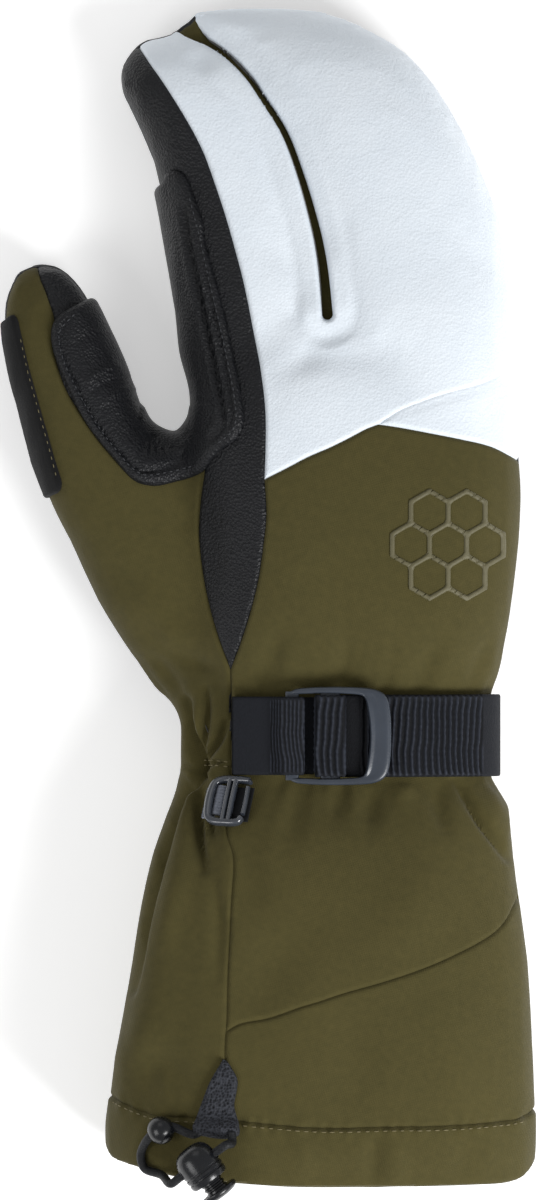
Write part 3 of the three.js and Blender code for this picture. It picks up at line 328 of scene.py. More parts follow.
def loft(rows, place, sides=64):
    """Closed tube through squarish ovals: points and faces."""
    rows = dense_rows(rows)
    upper_half = np.sin(2 * np.pi * np.arange(sides) / sides) >= 0
    across, up = squarish(sides, np.where(upper_half, TOP_ROUND, SOLE_ROUND))
    along, centre, half, low, high = (rows[:, i][:, None] for i in range(5))
    x = centre + across * half
    y = along + 0 * across
    z = (low + high) / 2 + up * (high - low) / 2
    points = place(x, y, z).reshape(-1, 3)
    faces = ring_faces(len(rows), sides)
    faces.append(tuple(reversed(range(sides))))
    faces.append(tuple(range((len(rows) - 1) * sides, len(rows) * sides)))
    return points, faces


lofts = [loft(rows, straight) for rows in (body_rows, mitten_rows, index_rows)]
lofts.append(loft(thumb_rows, leaning))
form_points, form_faces, base = [], [], 0
for points, faces in lofts:
    form_points.append(points)
    form_faces += [tuple(base + i for i in face) for face in faces]
    base += len(points)
form = bpy.data.meshes.new("form")
form.from_pydata((np.vstack(form_points) * MM).tolist(), [], form_faces)
form_object = linked("form", form)
print("lofted form:", len(form.vertices), "points")


# %% Remesh into one skin
def evaluated_mesh(thing):
    graph = bpy.context.evaluated_depsgraph_get()
    return bpy.data.meshes.new_from_object(thing.evaluated_get(graph))


def made_plain(thing):
    """Turns what the modifiers make into the object's own mesh."""
    old, made = thing.data, evaluated_mesh(thing)
    thing.modifiers.clear()
    thing.data = made
    bpy.data.meshes.remove(old)
    return made


def drop(thing):
    data = thing.data
    bpy.data.objects.remove(thing)
    bpy.data.meshes.remove(data)


SKIN_VOXEL = 4.4
remesh = form_object.modifiers.new("skin", "REMESH")
remesh.mode = "VOXEL"
remesh.voxel_size = SKIN_VOXEL * MM
remesh.use_smooth_shade = True
skin = evaluated_mesh(form_object)
drop(form_object)
print("one skin of", len(skin.vertices), "points")

# %% [markdown]
# ## Seam lines
# The panels meet along seams that the photograph shows from above. Each is a short list of points in
# the drawing's millimetres. The same lines hold the cloth, part the panels and sink the stitching.

# %% Seams on the back of the hand
white_edge = smooth_line([
    (-69.0, 353.7), (-60.6, 347.1), (-57.0, 342.0), (-54.6, 338.1), (-50.7, 332.4), (-43.8, 321.3),
    (-38.4, 311.1), (-34.8, 301.5), (-31.8, 292.5), (-29.1, 283.2), (-25.8, 270.6), (-23.1, 257.1),
    (-20.7, 243.6), (-19.5, 231.9), (-19.5, 221.1), (-19.8, 212.1),
])
wedge_right = smooth_line([
    (-19.8, 212.1), (-19.2, 201.6), (-20.1, 192.6), (-21.6, 182.4), (-24.3, 171.6), (-26.7, 164.1),
    (-30.0, 155.1),
])
wedge_left = smooth_line([
    (-30.0, 155.1), (-32.4, 161.1), (-34.5, 167.1), (-36.9, 176.1), (-38.7, 186.6), (-39.6, 197.1),
    (-39.0, 207.6), (-38.4, 212.1), (-37.8, 216.6),
])
crotch = smooth_line([
    (-37.8, 216.6), (-41.1, 219.3), (-43.8, 223.5), (-45.0, 228.9), (-45.9, 240.6), (-48.3, 255.6),
    (-57.0, 272.1), (-75.0, 311.1), (-84.0, 350.1), (-87.0, 374.1),
])
root_low = smooth_line([
    (-37.8, 216.6), (-37.8, 203.1), (-37.8, 191.1), (-38.1, 176.1), (-39.0, 161.1), (-41.4, 146.1),
    (-45.0, 132.6),
])
side_seam = smooth_line([
    (-30.0, 155.1), (-29.7, 146.1), (-29.7, 134.1), (-30.0, 122.1), (-30.9, 106.5), (-29.1, 100.8),
    (-28.8, 96.3), (-29.1, 91.8), (-29.7, 84.6), (-30.0, 77.4), (-30.6, 65.1), (-30.9, 51.9),
    (-31.5, 41.1), (-30.9, 30.6), (-30.3, 21.9),
])
POINTED_SEAM = [
    (-19.8, 212.1), (-13.2, 215.4), (-6.3, 219.0), (0.0, 221.7), (6.6, 225.0), (10.5, 227.1),
    (14.4, 228.6), (20.4, 227.7), (27.0, 226.5), (39.6, 224.1), (48.6, 222.0), (55.8, 218.7),
    (72.0, 211.0),
]
knuckle_seam = smooth_line([
    (14.4, 228.6), (21.0, 232.8), (27.0, 235.2), (33.0, 237.3), (39.6, 239.1), (45.9, 240.9),
    (54.0, 244.8), (72.0, 253.0),
])
thumb_edge = smooth_line([
    (-89.1, 300.0), (-88.2, 277.5), (-87.0, 272.4), (-85.5, 269.1), (-84.3, 265.5), (-82.8, 260.7),
    (-83.4, 254.1), (-81.9, 246.6), (-79.2, 239.1), (-74.4, 231.6), (-68.4, 223.2), (-63.0, 217.2),
    (-58.5, 214.5), (-52.5, 213.3), (-45.0, 214.8), (-37.8, 216.6),
])
slit = smooth_line([
    (-47.4, 352.5), (-37.8, 345.0), (-30.9, 339.9), (-24.3, 333.0), (-20.1, 326.7),
    (-13.8, 316.5), (-9.0, 303.9), (-5.1, 290.4), (-3.3, 282.6), (-2.1, 275.1), (-0.8, 261.5),
])
print("seams on the hand:", 8)

# %% Seams on the cuff
WRIST = CUFF_LENGTH
slanting_seam = smooth_line([
    (-30.9, 48.0), (-27.0, 50.2), (-18.6, 51.9), (-7.8, 55.6), (-3.9, 56.7), (3.3, 59.1),
    (15.0, 62.4), (25.2, 65.7), (33.0, 68.7), (39.6, 71.7), (45.0, 74.4), (49.8, 77.4),
    (53.4, 81.3), (55.8, 85.5), (72.0, 108.0),
])
hem_seam = smooth_line([
    (-90.0, 35.0), (-75.0, 30.3), (-67.5, 28.2), (-59.1, 24.9), (-51.9, 22.8), (-42.0, 22.2), (-29.4, 21.6),
    (-16.5, 20.4), (-3.9, 19.5), (7.5, 19.5), (18.0, 19.8), (28.5, 19.8), (39.6, 20.1),
    (48.6, 20.7), (57.0, 21.6), (64.5, 24.9), (90.0, 30.0),
])
hem_edge = smooth_line([
    (-90.0, 24.0), (-69.0, 15.7), (-67.2, 12.0), (-65.4, 9.3), (-60.0, 7.5), (-51.9, 5.4), (-39.0, 3.3),
    (-25.8, 2.4), (-11.1, 1.5), (10.5, 1.5), (39.6, 1.8), (54.3, 2.4), (58.2, 3.9),
    (61.2, 7.5), (63.0, 12.1), (90.0, 20.0),
])
pointed_left = smooth_line(POINTED_SEAM[:7])
pointed_right = smooth_line(POINTED_SEAM[6:])
pointed_seam = np.vstack([pointed_left, pointed_right[1:]])
main_seam = np.vstack([[(-95, 372)], white_edge, wedge_right[1:], side_seam[1:], [(-30.3, -60)]])
print("main seam:", len(main_seam), "points")

# %% [markdown]
# ## Cloth pass
# The real shell is stuffed with insulation and pulled in at its seams. A short cloth simulation with
# air pressure and no gravity swells the skin between the seams, which are held. The move is capped,
# so the glove keeps its measured outline.


# %% Swell the skin between its seams
def simulate_padding(mesh, pressure, frames, cap):
    """Lets a closed skin swell between its held seams. Returns its points in metres."""
    count = len(mesh.vertices)
    start, normals = coordinates(mesh), coordinates(mesh, "normal")
    plan = start / MM
    held = np.full(count, 1e9)
    on_top = plan[:, 2] > 14
    for line in (main_seam, pointed_seam, knuckle_seam, wedge_left, thumb_edge, slanting_seam, hem_seam):
        held = np.where(on_top, np.minimum(held, distance_to(line, plan)[0]), held)
    held = np.minimum(held, np.abs(plan[:, 1] - WRIST - 1.5) - 12.5)
    weight = np.clip(1 - (held - 2.5) / 9, 0.0, 1.0)
    weight = np.maximum(weight, np.where(plan[:, 1] < 8, 1.0, 0.0))
    weight = np.maximum(weight, np.where(plan[:, 2] < 1.5, 0.97, 0.0))
    thing = linked("padding", mesh.copy())
    shrunk = start - normals * 0.6 * MM
    thing.data.vertices.foreach_set("co", shrunk.ravel())
    group = thing.vertex_groups.new(name="held")
    for i in np.nonzero(weight > 0.02)[0]:
        group.add([int(i)], float(weight[i]), "REPLACE")
    cloth = thing.modifiers.new("cloth", "CLOTH")
    settings = cloth.settings
    settings.quality = 6
    settings.mass = 0.3
    settings.tension_stiffness = 18
    settings.compression_stiffness = 10
    settings.shear_stiffness = 6
    settings.bending_stiffness = 0.4
    settings.use_pressure = True
    settings.uniform_pressure_force = pressure
    settings.vertex_group_mass = "held"
    settings.pin_stiffness = 3
    settings.effector_weights.gravity = 0
    cloth.collision_settings.use_collision = False
    cloth.point_cache.frame_start, cloth.point_cache.frame_end = 1, frames
    scene = bpy.context.scene
    for frame_number in range(1, frames + 1):
        scene.frame_set(frame_number)
        bpy.context.view_layer.update()
    swollen = evaluated_mesh(thing)
    points = coordinates(swollen)
    scene.frame_set(1)
    bpy.data.meshes.remove(swollen)
    drop(thing)
    move = points - start
    length = np.linalg.norm(move, axis=1, keepdims=True)
    return start + move * np.minimum(1, cap / np.maximum(length, 1e-9)), length.ravel()


swollen_points, swell = simulate_padding(skin, pressure=4.0, frames=20, cap=2.6 * MM)
skin.vertices.foreach_set("co", swollen_points.ravel())
skin.update()
print("swell in mm: mean", round(swell.mean() / MM, 2), "most", round(swell.max() / MM, 2))

# %% Fine skin
skin_object = linked("skin", skin)
fine = skin_object.modifiers.new("fine", "SUBSURF")
fine.levels = fine.render_levels = 2
fine_mesh = evaluated_mesh(skin_object)
drop(skin_object)
fine_mesh.calc_loop_triangles()
skin_points = coordinates(fine_mesh) / MM
skin_triangles = np.empty(len(fine_mesh.loop_triangles) * 3, np.int64)
fine_mesh.loop_triangles.foreach_get("vertices", skin_triangles)
skin_triangles = skin_triangles.reshape(-1, 3)
bpy.data.meshes.remove(fine_mesh)
print("fine skin:", len(skin_points), "points,", len(skin_triangles), "triangles")

# %% [markdown]
# ## Outline as measured
# Rounding and swelling move the skin's silhouette by a millimetre or two. It is brought back to the
# widths measured in the photograph, row by row, on the fingers, hand, thumb and cuff.


# %% Fit the skin to the measured outline
def point_normals(points, triangles):
    corner = points[triangles]
    face = np.cross(corner[:, 1] - corner[:, 0], corner[:, 2] - corner[:, 0])
    normals = np.zeros_like(points)
    for axis in range(3):
        for i in range(3):
            normals[:, axis] += np.bincount(triangles[:, i], face[:, axis], len(points))
    return unit(normals)


# up the glove, move of the left side, move of the right side
BODY_FIT = np.array([
    (8.0, 0.0, 0.3), (20.0, -0.6, 0.4), (44.0, -0.2, 0.3), (68.0, -0.2, 0.8), (92.0, -0.6, 0.2),
    (116.0, -0.8, 1.0), (128.0, -0.9, 1.2), (146.0, -1.0, 1.2), (158.0, -0.3, 1.2), (176.0, -0.5, 0.8),
    (194.0, 0.7, 0.9), (218.0, -2.0, 0.5), (225.9, -1.9, 0.8),
    (226.1, 0.4, 0.8), (236.0, 0.6, 1.4), (254.0, -0.8, 1.4), (272.0, -0.9, 0.3),
    (290.0, -1.0, 1.2), (308.0, -0.8, 0.5), (326.0, -0.5, 0.9), (338.0, -1.6, 1.2), (350.0, -1.2, 2.0),
])
THUMB_FIT = np.array([
    (222.0, -2.0, 0.0), (236.0, -1.6, -0.6), (254.0, -3.0, 0.5), (266.0, -2.8, 0.0), (273.0, -2.2, -0.3),
])
TIP_REACH = 2.1
on_thumb = (skin_points[:, 0] < -56) & (skin_points[:, 1] > 226) & (skin_points[:, 1] < 300)
skin_points[:, 1] += TIP_REACH * np.where(
    on_thumb, smooth_step(232, 272, skin_points[:, 1]), smooth_step(300, 350, skin_points[:, 1]))
for group, fit in ((on_thumb, THUMB_FIT), (~on_thumb, BODY_FIT)):
    x, y = skin_points[group, 0], skin_points[group, 1]
    row = np.round(y / 2).astype(int)
    row = row - row.min()
    left, right = np.full(row.max() + 1, 1e3), np.full(row.max() + 1, -1e3)
    np.minimum.at(left, row, x)
    np.maximum.at(right, row, x)
    from_left, from_right = np.exp(-(x - left[row]) / 14), np.exp(-(right[row] - x) / 14)
    skin_points[group, 0] = (
        x + from_left * np.interp(y, fit[:, 0], fit[:, 1]) + from_right * np.interp(y, fit[:, 0], fit[:, 2])
    )
# The crotch is a wide U, so the skin there is pushed apart and down
x, y = skin_points[:, 0].copy(), skin_points[:, 1].copy()
CROTCH_MIDDLE, CROTCH_SPREAD, CROTCH_SINK = -49.5, 3.2, 3.0
from_middle = x - CROTCH_MIDDLE
window = smooth_step(219, 227, y) * smooth_step(252, 238, y)
lower_window = smooth_step(216, 225, y) * smooth_step(246, 232, y)
skin_points[:, 0] += CROTCH_SPREAD * np.tanh(from_middle / 3) * np.exp(-(from_middle / 11) ** 2) * window
skin_points[:, 1] -= CROTCH_SINK * np.exp(-(from_middle / 8) ** 2) * lower_window
print("rows fitted:", len(BODY_FIT), "and", len(THUMB_FIT))

# %% [markdown]
# The index finger and the mitten lie side by side, and the skin between them is a shallow valley. It is
# made even there, from the heights a few millimetres away on both sides, so that its edges run clean.

# %% Even out the valley at the slit
SLIT_SIDE = [(60, 261.5), (60, 352)]
normals = point_normals(skin_points, skin_triangles)
close = near_distance(slit, skin_points, 14.0)
beside = (close < 12.0) & (normals[:, 2] > -0.2) & (skin_points[:, 2] > 14)
d, along = distance_to(slit, skin_points[beside])
side = np.where(side_of(slit, SLIT_SIDE, skin_points[beside]) > 0, 1.0, -1.0)
slit_length = float(lengths_along(slit)[-1])
stations = np.arange(0, slit_length + 1, 2.0)
heights = []
for which in (-1.0, 1.0):
    used = (side == which) & (d > 8.0) & (d < 11.0)
    z = skin_points[beside][used, 2]
    near = [np.abs(along[used] - station) < 4 for station in stations]
    row = np.array([z[here].mean() if here.any() else np.nan for here in near])
    row = np.interp(stations, stations[~np.isnan(row)], row[~np.isnan(row)])
    padded_row = np.concatenate([np.full(3, row[0]), row, np.full(3, row[-1])])
    heights.append(np.convolve(padded_row, np.array([1, 2, 3, 4, 3, 2, 1]) / 16, "valid"))
# Past the end of the slit the two sides are told apart by how far across they lie
lateral = np.where(along < slit_length - 0.05, side * d, skin_points[beside, 0] - slit[-1, 0])
share = np.clip((lateral + 9) / 18, 0, 1)
level_here, level_there = (np.interp(along, stations, row) for row in heights)
level = (1 - share) * level_here + share * level_there
weight = smooth_step(10.5, 6.0, d) * smooth_step(8, 22, along)
skin_points[beside, 2] += weight * (level - skin_points[beside, 2])
print("points evened beside the slit:", int(beside.sum()))

# %% [markdown]
# ## Folds and gathers
# Cloth that is pulled in by a strap folds in soft valleys and ridges. Each fold is a short line with a
# width and a height in millimetres, pressed along the skin's own normals and faded at its ends.

# %% Folds on the upper side
# name, points in plan, width, height (below zero for a valley)
FOLDS = [
    ("star_up_left", [(-39.6, 125.1), (-41.1, 132.6), (-42.6, 139.5), (-43.2, 146.1)], 1.5, -4.75),
    ("star_up",
     [(-39.6, 125.1), (-38.7, 131.7), (-37.8, 137.7), (-37.2, 144.6), (-37.5, 149.1)], 1.2, -3.25),
    ("star_up_right", [(-39.6, 125.1), (-36.0, 130.5), (-33.0, 134.7), (-31.2, 139.5)], 1.1, -3.0),
    ("star_left", [(-39.6, 125.1), (-42.0, 121.5), (-44.4, 118.5), (-46.2, 114.3)], 1.2, -4.0),
    ("star_down",
     [(-39.6, 125.1), (-39.9, 119.1), (-40.2, 111.6), (-39.3, 104.1), (-37.5, 96.3)], 1.7, -4.75),
    ("star_down_right", [(-39.6, 125.1), (-36.9, 120.6), (-35.7, 114.6), (-35.4, 107.1)], 1.2, -2.5),
    ("wrist_line", [(-44.1, 126.9), (-39.6, 125.1), (-34.5, 127.5), (-30.3, 126.6)], 0.9, -2.25),
    ("ridge_up", [(-40.2, 146.1), (-39.9, 139.5), (-39.3, 132.6)], 2.0, 1.2),
    ("ridge_down_left", [(-43.2, 116.1), (-44.1, 104.1), (-46.2, 89.1), (-49.2, 74.1)], 3.5, 1.95),
    ("ridge_down_right", [(-37.2, 104.7), (-34.2, 95.1), (-31.8, 84.6)], 3.0, 1.5),
    ("cuff_left_fold",
     [(-43.8, 121.5), (-47.4, 110.1), (-51.0, 98.1), (-54.0, 84.6), (-56.7, 69.6), (-58.8, 59.1)],
     1.6, -4.0),
    ("cuff_left_fold_2", [(-45.6, 116.1), (-50.1, 101.1), (-53.4, 89.1)], 1.6, -2.5),
    ("cuff_side_fold", [(-36.0, 112.0), (-34.4, 96.0), (-33.4, 80.0), (-33.8, 64.0)], 2.2, -1.5),
    ("cuff_side_ridge", [(-46.5, 92.0), (-50.5, 74.0), (-52.5, 58.0), (-53.0, 44.0)], 6.0, 1.8),
    ("cuff_left_low", [(-63.6, 35.1), (-57.6, 44.1), (-54.0, 54.6)], 5.0, 2.1),
    ("cuff_left_valley", [(-42.0, 30.6), (-51.0, 38.1), (-55.5, 28.5)], 5.0, -1.8),
    ("right_crease",
     [(37.5, 122.7), (41.4, 116.1), (45.6, 109.5), (49.2, 104.7), (53.4, 98.7)], 1.4, -2.85),
    ("right_facet", [(46.5, 119.1), (51.0, 112.5), (54.0, 105.6)], 4.0, 1.5),
    ("below_buckle_1", [(3.0, 121.5), (2.1, 116.7), (1.2, 110.7)], 3.2, -1.35),
    ("below_buckle_2", [(12.6, 120.6), (12.3, 116.1), (11.4, 109.5)], 3.6, -1.65),
    ("below_strap_1", [(31.8, 122.1), (32.4, 116.1), (34.2, 108.3)], 2.6, -1.5),
    ("below_strap_2", [(-9.0, 120.6), (-10.2, 114.6), (-12.0, 104.1)], 4.0, -1.2),
    ("below_strap_3", [(22.5, 121.5), (22.2, 116.1)], 3.0, 1.05),
    ("below_hook", [(-25.8, 105.6), (-24.0, 95.1), (-20.4, 84.6)], 4.0, -1.05),
    ("cuff_broad_1", [(-9.0, 77.1), (-18.0, 65.1), (-22.5, 53.1)], 9.0, -1.65),
    ("cuff_broad_2", [(30.0, 98.1), (24.0, 83.1), (15.0, 71.1)], 10.0, 1.35),
    ("cuff_low_1", [(6.0, 56.1), (7.5, 38.1), (4.5, 24.6)], 8.0, -1.05),
    ("cuff_low_2", [(30.0, 59.1), (36.0, 44.1), (39.0, 26.1)], 9.0, 1.05),
    ("hem_1", [(12.6, 17.1), (13.2, 2.7)], 2.6, -1.35),
    ("hem_2", [(18.6, 17.1), (20.4, 3.3)], 3.0, 0.9),
    ("hem_3", [(-54.0, 21.6), (-57.0, 8.1)], 4.0, 1.2),
    ("hem_4", [(-42.0, 18.6), (-45.0, 5.7)], 4.0, -1.2),
    ("hem_5", [(-9.0, 17.1), (-7.8, 3.3)], 4.0, 0.75),
    ("hem_6", [(39.0, 17.1), (40.8, 3.3)], 4.0, -0.75),
    ("above_strap_1", [(-20.4, 149.1), (-18.6, 156.9), (-14.4, 167.1)], 3.5, -1.2),
    ("above_strap_2", [(3.0, 149.7), (4.5, 156.9), (6.0, 164.1)], 4.0, -1.05),
    ("above_strap_3", [(27.0, 149.1), (28.5, 155.7), (31.8, 162.6)], 3.5, -1.05),
    ("above_strap_4", [(42.0, 149.1), (44.4, 156.9), (47.4, 164.1)], 3.0, -1.2),
    ("hand_broad_1", [(6.0, 164.1), (0.0, 176.1), (-9.0, 188.1)], 10.0, -1.2),
    ("hand_broad_2", [(42.0, 158.1), (36.0, 170.1), (33.0, 185.1)], 10.0, 0.9),
    ("thumb_low_1", [(-56.7, 158.4), (-51.6, 155.7), (-46.2, 149.1)], 2.4, -1.35),
    ("thumb_low_2", [(-45.0, 159.3), (-39.6, 156.9), (-34.8, 155.7)], 2.0, -1.2),
    ("thumb_low_3", [(-51.0, 164.1), (-45.0, 165.9), (-39.0, 164.1)], 4.0, 0.9),
    ("thumb_low_4", [(-61.5, 169.5), (-54.0, 164.1), (-47.4, 154.5)], 5.0, -1.35),
    ("thumb_mid", [(-72.0, 188.1), (-63.0, 182.1), (-54.0, 180.6)], 7.0, -1.05),
    ("white_1", [(-2.4, 252.6), (-9.0, 247.5), (-15.0, 244.5)], 4.0, -0.9),
    ("white_2", [(4.5, 257.1), (12.6, 251.1), (21.0, 250.5)], 6.0, -0.75),
    ("white_3", [(-20.4, 285.6), (-15.0, 278.1), (-11.4, 273.6)], 3.0, -0.45),
    ("white_knuckle", [(16.2, 230.1), (33.0, 235.8), (46.2, 239.7), (54.0, 243.3)], 1.2, -0.3),
    ("mitten_top_1", [(-34.5, 347.1), (-25.5, 340.5), (-18.0, 331.5)], 5.0, -0.9),
]


def fold_heights(folds, points, step, fade_in, fade_power):
    """Sum of the folds' heights at the points. Each fold fades at both its ends."""
    height = np.zeros(len(points))
    for name, line, width, depth in folds:
        curve = smooth_line(line, step)
        d, along = distance_to(curve, points)
        fade = np.sin(np.pi * np.clip(fade_in + (1 - 2 * fade_in) * along / lengths_along(curve)[-1], 0, 1))
        height += depth * fade ** fade_power * np.exp(-(d / width) ** 2)
    return height


normals = point_normals(skin_points, skin_triangles)
facing_up = smooth_step(-0.15, 0.35, normals[:, 2])
height = fold_heights(FOLDS, skin_points, 1.0, 0.08, 0.7)
skin_points = skin_points + normals * (height * facing_up)[:, None]
print("folds:", len(FOLDS), "deepest", round(float(height.min()), 2), "mm")

# %% [markdown]
# The strap presses a band into the wrist and gathers the cloth on both sides of it. The gathers are a
# few waves of uneven spacing that die out away from the strap.

# %% Gathers beside the strap
STRAP_AT = CUFF_LENGTH + 1.5
# height, length and shift of each wave
GATHER_WAVES = [(0.45, 1.9, 0.7), (0.35, 3.1, 2.0), (0.3, 1.15, 4.0)]
WEBBING_WIDTH = 24.0
x, y, z = skin_points.T
around = np.arctan2(z - 22, x - 1.4) * 46
wave = sum(height * np.sin(around / length + shift) for height, length, shift in GATHER_WAVES)
from_edge = np.abs(y - STRAP_AT) - WEBBING_WIDTH / 2
gathered = np.exp(-np.maximum(from_edge, 0) / 9) * smooth_step(-2, 3, from_edge)
gathered = gathered * smooth_step(-0.6, 0.2, normals[:, 2])
calm = np.where(x > -28, 0.5, 0.9)
skin_points = skin_points + normals * (wave * gathered * calm)[:, None]
pucker = 0.3 * np.sin(x / 0.85 + 1.5 * np.sin(x / 3.3)) + 0.15 * np.sin(x / 2.1)
near_hem = np.exp(-((height_over(hem_seam, skin_points) + 0.6) / 2.2) ** 2)
skin_points = skin_points + normals * (pucker * near_hem * smooth_step(-0.2, 0.3, normals[:, 2]))[:, None]
print("gathers fade over 9 mm from the strap, puckers over 2 mm from the hem's seam")


# %% Flat sole
SOLE_TURN = 1.2


def rest_flat(points):
    """Presses what would be under the floor flat, with a soft turn at its edge."""
    points = points.copy()
    z = points[:, 2]
    turn = np.where(z > -SOLE_TURN, (z + SOLE_TURN) ** 2 / (4 * SOLE_TURN), 0)
    points[:, 2] = np.where(z < SOLE_TURN, turn, z)
    return points


skin_points = rest_flat(skin_points)
print("points on the floor:", int((skin_points[:, 2] < 0.01).sum()))

# %% [markdown]
# ## Panels
# A sewn shell is cut from flat panels. The fine skin is parted the same way: each seam splits the
# triangles that it crosses, so every panel ends exactly on its seam line, with no torn edge.


# %% Part triangles along a line
class Skin:
    """Points with their normals, shared by all the panels that are cut from them."""

    def __init__(self, points, normals):
        self.data = np.hstack([points, normals])

    @property
    def points(self):
        return self.data[:, :3]

    @property
    def normals(self):
        return self.data[:, 3:6]

    def part(self, triangles, value):
        """Splits triangles where value, one number a point, changes sign. Returns the new triangles
        and the value grown to the new points."""
        value = np.where(np.abs(value) < 0.02, 0.0, value)
        sign = np.sign(value)[triangles]
        crossed = (sign.min(1) < 0) & (sign.max(1) > 0)
        kept, t = triangles[~crossed], triangles[crossed]
        if len(t) == 0:
            return triangles, value
        s = sign[crossed]
        touching = (s == 0).any(1)
        lone = np.where(s.sum(1)[:, None] > 0, s < 0, s > 0)
        first = np.where(touching, (s == 0).argmax(1), lone.argmax(1))
        turn = (first[:, None] + np.arange(3)) % 3
        t = np.take_along_axis(t, turn, 1)
        halves, thirds = t[touching], t[~touching]
        edges = np.vstack([halves[:, [1, 2]], thirds[:, [0, 1]], thirds[:, [0, 2]]])
        ordered = np.sort(edges, 1)
        unique, index = np.unique(ordered, axis=0, return_inverse=True)
        index = index.ravel()
        a, b = unique.T
        share = (value[a] / (value[a] - value[b]))[:, None]
        start = len(self.data)
        self.data = np.vstack([self.data, self.data[a] * (1 - share) + self.data[b] * share])
        value = np.concatenate([value, np.zeros(len(unique))])
        index = index + start
        m = index[:len(halves)]
        m1 = index[len(halves):len(halves) + len(thirds)]
        m2 = index[len(halves) + len(thirds):]
        new = np.vstack([
            np.column_stack([halves[:, 0], halves[:, 1], m]),
            np.column_stack([halves[:, 0], m, halves[:, 2]]),
            np.column_stack([thirds[:, 0], m1, m2]),
            np.column_stack([m1, thirds[:, 1], thirds[:, 2]]), np.column_stack([m1, thirds[:, 2], m2]),
        ])
        return np.vstack([kept, new]), value

    def split(self, triangles, measure):
        """Parts triangles by a function of the points: those where it is positive, and the rest."""
        used = np.unique(triangles)
        value = np.ones(len(self.data))
        value[used] = measure(self.points[used])
        triangles, value = self.part(triangles, value)
        positive = value[triangles].sum(1) > 0
        return triangles[positive], triangles[~positive]

    def rings(self, triangles, measure, distances):
        """Splits triangles at set distances of a measure, so that an edge can be rounded there."""
        for distance in distances:
            used = np.unique(triangles)
            value = np.ones(len(self.data))
            value[used] = measure(self.points[used]) - distance
            triangles, _ = self.part(triangles, value)
        return triangles

    def taken(self, triangles):
        """The points that triangles use, their normals, and the triangles numbered among them."""
        used, index = np.unique(triangles, return_inverse=True)
        return self.points[used], unit(self.normals[used]), index.reshape(-1, 3)


skin = Skin(skin_points, point_normals(skin_points, skin_triangles))
print("skin ready:", len(skin_triangles), "triangles")

# %% Where the upper and lower halves meet
SPLIT_Y = np.concatenate([body_rows[:-3, 0], mitten_rows[[3, 8, 11], 0]])
SPLIT_LOW = np.concatenate([body_rows[:-3, 3], mitten_rows[[3, 8, 11], 3]])
SPLIT_HIGH = np.concatenate([body_rows[:-3, 4], mitten_rows[[3, 8, 11], 4]])
thumb_region = np.vstack([crotch[::-1], root_low[1:], [(-58.7, WRIST), (-400, WRIST), (-400, 400)]])


def middle_height(points):
    """Height of the side seam, which lies lower on the thumb than on the hand."""
    y = points[:, 1]
    low, high = np.interp(y, SPLIT_Y, SPLIT_LOW), np.interp(y, SPLIT_Y, SPLIT_HIGH)
    hand = low + 0.47 * (high - low)
    thumb = THUMB_HEIGHT * np.interp(y, [0, 400], [0.5, 0.46])
    d, _ = distance_to(thumb_region, points)
    share = smooth_step(-6, 6, np.where(inside(thumb_region, points), d, -d))
    return hand * (1 - share) + thumb * share


print("side seam at the knuckles:", round(float(middle_height(np.array([[0.0, 210.0, 0.0]]))[0]), 1), "mm")

# %% Cut the panels
FAR = 400
panels = {}
rest, _ = skin.split(skin_triangles, lambda p: height_over(hem_edge, p))
rest, panels["cuff_hem"] = skin.split(rest, lambda p: height_over(hem_seam, p))
upper, lower = skin.split(rest, lambda p: p[:, 2] - middle_height(p))

hand, cuff = skin.split(lower, lambda p: p[:, 1] - WRIST)
panels["cuff_palm"] = cuff
panels["thumb_palm"], panels["palm"] = skin.split(
    hand, lambda p: side_of(np.vstack([crotch[::-1], root_low[1:]]), [(-400, WRIST - 2), (-400, 400)], p))

right, left = skin.split(upper, lambda p: side_of(main_seam, [(FAR, -60), (FAR, FAR)], p))
right_hand, right_cuff = skin.split(right, lambda p: p[:, 1] - WRIST)
left_hand, panels["cuff_side"] = skin.split(left, lambda p: p[:, 1] - WRIST)
panels["cuff_back_upper"], panels["cuff_back_lower"] = skin.split(
    right_cuff, lambda p: side_of(slanting_seam, [(72, FAR), (-120, FAR), (-120, 46)], p))
fingers, panels["hand_back"] = skin.split(
    right_hand, lambda p: side_of(pointed_seam, [(72, FAR), (-120, FAR), (-120, 212)], p))
panels["leather_back"], panels["knuckle_panel"] = skin.split(
    fingers, lambda p: side_of(np.vstack([[(-120, 150)], knuckle_seam]), [(72, FAR), (-120, FAR)], p))
finger_edge = np.vstack([wedge_left, crotch[1:]])
panels["index_side"], thumb_side = skin.split(
    left_hand, lambda p: side_of(finger_edge, [(-60, FAR), (60, FAR), (60, 100), (-30, 100)], p))
panels["thumb_front"], panels["thumb_back"] = skin.split(
    thumb_side, lambda p: side_of(thumb_edge, [(-37, 400), (-89, 400)], p))
for name, triangles in panels.items():
    print(name, len(triangles))

# %% [markdown]
# ## The slit between the fingers
# The index finger is free of the mitten. Between them an olive strip lies a few millimetres down. The
# white leather turns down at both edges of the slit, sharply on the index finger, softly on the mitten.

# %% Open the slit
SLIT_HALF = 1.25
GUSSET_DEPTH = 6.0


def slit_distance(points):
    """Distance to the slit's line in plan, less where the slit is wider than 2.5 mm."""
    distance = np.full(len(points), 30.0)
    close = near_distance(slit, points, 12.0) < 12.0
    if close.any():
        d, along = distance_to(slit, points[close])
        half = np.interp(along / slit_length, [0, 0.06, 0.12, 0.25, 0.6, 0.9, 1],
                         [2.6, 2.2, 1.05, 0.85, 1.05, 1.5, 1.6])
        distance[close] = d + SLIT_HALF - half
    return distance


